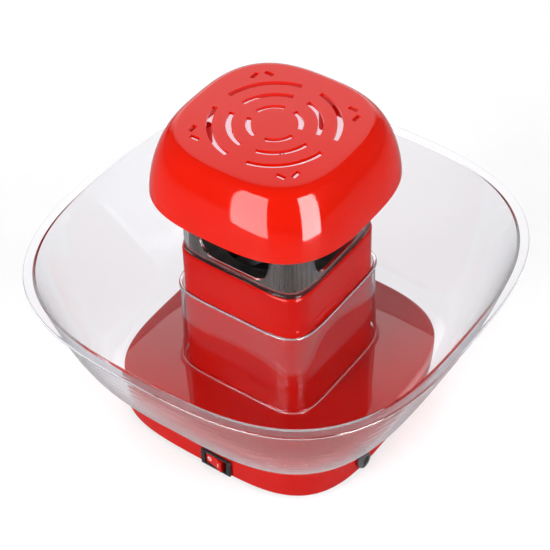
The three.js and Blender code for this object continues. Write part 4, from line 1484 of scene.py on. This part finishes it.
    def grille(self) -> list[bpy.types.Object]:
        """Makes the cutters of the three slot rings and the eight dashes."""
        patterns = self.shop.patterns
        cutters = []
        for radius, width, bridge in self.slot_rings:
            cutters.append(patterns.piece(
                "slot_ring", arc_tree, Radius=(radius - width / 2) * MM, Width=width * MM,
                Depth=self.cut * MM, Bridge_angle=math.radians(2 * bridge), Level=(self.top - 5) * MM))
        long, wide, near, far = self.dash_length, self.dash_width, self.dash_near, self.dash_far
        lap = 0.5
        pair = block("dash", (long, wide, self.cut), (near, far, self.top))
        carve(pair, [block("dash", (wide, long, self.cut), (far + lap, near - lap, self.top))], "UNION")
        cutters.append(patterns.copies("dashes", pair, 4))
        return cutters


# ------------------------------------------------------------------ studio

@dataclass(frozen=True)
class Panel:
    """A flat lamp or bright card, in metres: where it is, what it faces and how bright it is."""

    name: str
    at: tuple
    target: tuple
    size: tuple
    radiance: float
    edge: float = 0.02          # share of a card's half size over which it fades out

    def facing(self) -> Quaternion:
        """The turn that makes it face its target."""
        return (Vector(self.target) - Vector(self.at)).to_track_quat("-Z", "Y")


MIDDLE = (0.0, 0.0, 0.2)
LAMPS = (
    Panel("key", (-0.35, -1.31, 0.87), MIDDLE, (0.8, 0.8), 10.0),
    Panel("fill", (1.35, 0.12, 0.87), MIDDLE, (0.8, 0.8), 7.0),
    Panel("rim", (-0.9, 1.2, 1.1), MIDDLE, (0.8, 0.8), 3.0),
)
CARDS = (
    Panel("left_card", (-0.036, -0.75, 0.425), (0.064, -0.08, 0.425), (0.433, 0.83), 16.0),
    Panel("right_card", (0.70, -0.23, 0.425), (0.06, -0.02, 0.425), (0.34, 0.83), 30.0),
    Panel("back_card", (-0.78, 1.07, 0.80), (0.0, 0.0, 0.80), (2.3, 1.9), 2.6, 0.5),
)


@dataclass
class Studio:
    """Camera, floor, surroundings and soft lights.

    The floor and the surroundings are brighter where the camera sees them, directly or through
    clear plastic, than where they are mirrored, so that the clear pieces stand in even white.
    """

    camera_at: tuple = (0.5073, -0.6921, 0.9349)
    looking: tuple = (-0.42620, 0.58148, -0.69299)
    roll: float = 1.5
    lens: float = 109.66
    sensor: float = 36.0
    shift: float = -0.0065
    floor_reach: float = 6.0
    floor_grey: float = 0.4
    floor_lift: float = 0.57
    surround: float = 0.34
    through: float = 0.6
    mirrored: float = -0.14
    backdrop: float = 0.5

    def camera(self) -> None:
        """Makes the camera."""
        data = bpy.data.cameras.new("camera")
        data.lens = self.lens
        data.sensor_width = self.sensor
        data.shift_x = self.shift
        camera = bpy.data.objects.new("camera", data)
        turn = Vector(self.looking).to_track_quat("-Z", "Y").to_matrix().to_4x4()
        camera.matrix_world = (Matrix.Translation(self.camera_at) @ turn
                               @ Matrix.Rotation(math.radians(-self.roll), 4, "Z"))
        bpy.context.scene.collection.objects.link(camera)
        bpy.context.scene.camera = camera

    def lamp(self, panel: Panel) -> None:
        """Makes a soft lamp that lights matt surfaces and shows in nothing."""
        data = bpy.data.lights.new(panel.name, "AREA")
        data.shape = "RECTANGLE"
        data.size, data.size_y = panel.size
        data.energy = panel.radiance * panel.size[0] * panel.size[1] * math.pi
        lamp = bpy.data.objects.new(panel.name, data)
        lamp.location = panel.at
        lamp.rotation_mode = "QUATERNION"
        lamp.rotation_quaternion = panel.facing()
        lamp.visible_camera = lamp.visible_glossy = lamp.visible_transmission = False
        bpy.context.scene.collection.objects.link(lamp)

    def card(self, panel: Panel) -> None:
        """Makes a bright card that shows only in glossy reflections and fades at its edge."""
        mesh = bmesh.new()
        glow_layer = mesh.verts.layers.float.new("glow")
        width, height = panel.size
        stops = (-1.0, panel.edge - 1.0, 1.0 - panel.edge, 1.0)
        grid = [[mesh.verts.new((x * width / 2, y * height / 2, 0)) for x in stops] for y in stops]
        for j, row in enumerate(grid):
            for i, vert in enumerate(row):
                vert[glow_layer] = float(0 < i < 3 and 0 < j < 3)
        for low, high in zip(grid, grid[1:]):
            for i in range(3):
                mesh.faces.new((low[i], low[i + 1], high[i + 1], high[i]))
        card = made(panel.name, mesh)
        place(card, Matrix.Translation(panel.at) @ panel.facing().to_matrix().to_4x4())
        material = bpy.data.materials.new(panel.name)
        material.use_nodes = True
        tree = material.node_tree
        fade = add_node(tree, "ShaderNodeAttribute", {}, attribute_name="glow").outputs["Fac"]
        glow = add_node(tree, "ShaderNodeEmission", {
            "Strength": math_node(tree, "MULTIPLY", fade, panel.radiance)})
        tree.links.new(glow.outputs[0], tree.nodes["Material Output"].inputs["Surface"])
        card.data.materials.append(material)
        card.visible_camera = card.visible_diffuse = card.visible_transmission = False
        card.visible_shadow = False

    def floor(self, effects: Effects) -> None:
        """Makes the plain pale floor, lifted to white where it is seen and not where it is mirrored."""
        mesh = bmesh.new()
        reach = self.floor_reach
        mesh.faces.new([mesh.verts.new((x * reach, y * reach, 0)) for x, y in
                        ((-1, -1), (1, -1), (1, 1), (-1, 1))])
        floor = made("floor", mesh)
        grey = self.floor_grey
        darker = grey - 0.01
        finish = Moulded("pale_floor", tone(grey, grey, grey + 0.005), tone(darker, darker, darker + 0.005),
                         drift=2.0, low=0.6, high=0.75, grain=400.0, depth=0.01)
        material = finish.build(effects)
        tree = material.node_tree
        path = add_node(tree, "ShaderNodeLightPath", {}).outputs
        seen = math_node(tree, "MAXIMUM", path["Is Camera Ray"], path["Is Transmission Ray"])
        bounces = math_node(tree, "ADD", path["Glossy Depth"], path["Diffuse Depth"])
        direct = math_node(tree, "GREATER_THAN", seen, bounces)
        shader = tree.nodes["Principled BSDF"]
        shader.inputs["Emission Color"].default_value = WHITE
        tree.links.new(math_node(tree, "MULTIPLY", direct, self.floor_lift),
                       shader.inputs["Emission Strength"])
        floor.data.materials.append(material)

    def surroundings(self) -> None:
        """Makes the even surroundings."""
        world = bpy.data.worlds.new("studio")
        world.use_nodes = True
        tree = world.node_tree
        path = add_node(tree, "ShaderNodeLightPath", {}).outputs
        direct = math_node(tree, "GREATER_THAN", path["Is Transmission Ray"], path["Diffuse Depth"])
        strength = self.surround
        for gain, share in ((self.through, direct), (self.mirrored, path["Is Glossy Ray"]),
                            (self.backdrop, path["Is Camera Ray"])):
            strength = math_node(tree, "MULTIPLY_ADD", share, gain, strength)
        sky = tree.nodes["Background"]
        sky.inputs["Color"].default_value = WHITE
        tree.links.new(strength, sky.inputs["Strength"])
        bpy.context.scene.world = world
        bpy.context.scene.view_settings.view_transform = "Standard"

    def build(self, effects: Effects) -> None:
        """Makes everything that isn't the object."""
        self.floor(effects)
        self.surroundings()
        for panel in LAMPS:
            self.lamp(panel)
        for panel in CARDS:
            self.card(panel)


def main() -> None:
    """Builds the popcorn maker and its studio."""
    logging.basicConfig(level=logging.INFO, format="%(name)s: %(message)s")
    studio = Studio()
    studio.camera()
    shop = Workshop()
    assemblies = [
        BaseUnit(shop), RockerSwitch(shop), Tower(shop), Blower(shop),
        Screws(shop, "bottom_screw", "base", 4, diagonal(BOTTOM_SCREWS), 45, low=2.1, neck=3.7, tip=20),
        Screws(shop, "tower_screw", "base", 4, diagonal(TOWER_SCREWS), 45, low=34, neck=36.5, tip=56),
        Screws(shop, "chamber_screw", "base", 2, diagonal(CHAMBER_SCREWS), 45, low=135.9, neck=137.7,
               tip=145.4, head=2.8, shank=1.2),
        ServingBowl(shop), Lid(shop),
        Screws(shop, "cover_screw", "lid", 4, COVER_SCREWS, 0, low=199.6, neck=201.3, tip=218),
    ]
    for assembly in assemblies:
        LOG.info("building %s", type(assembly).__name__)
        assembly.build()
    shop.dress_carried_over()
    studio.build(shop.effects)


if __name__ == "__main__":
    main()
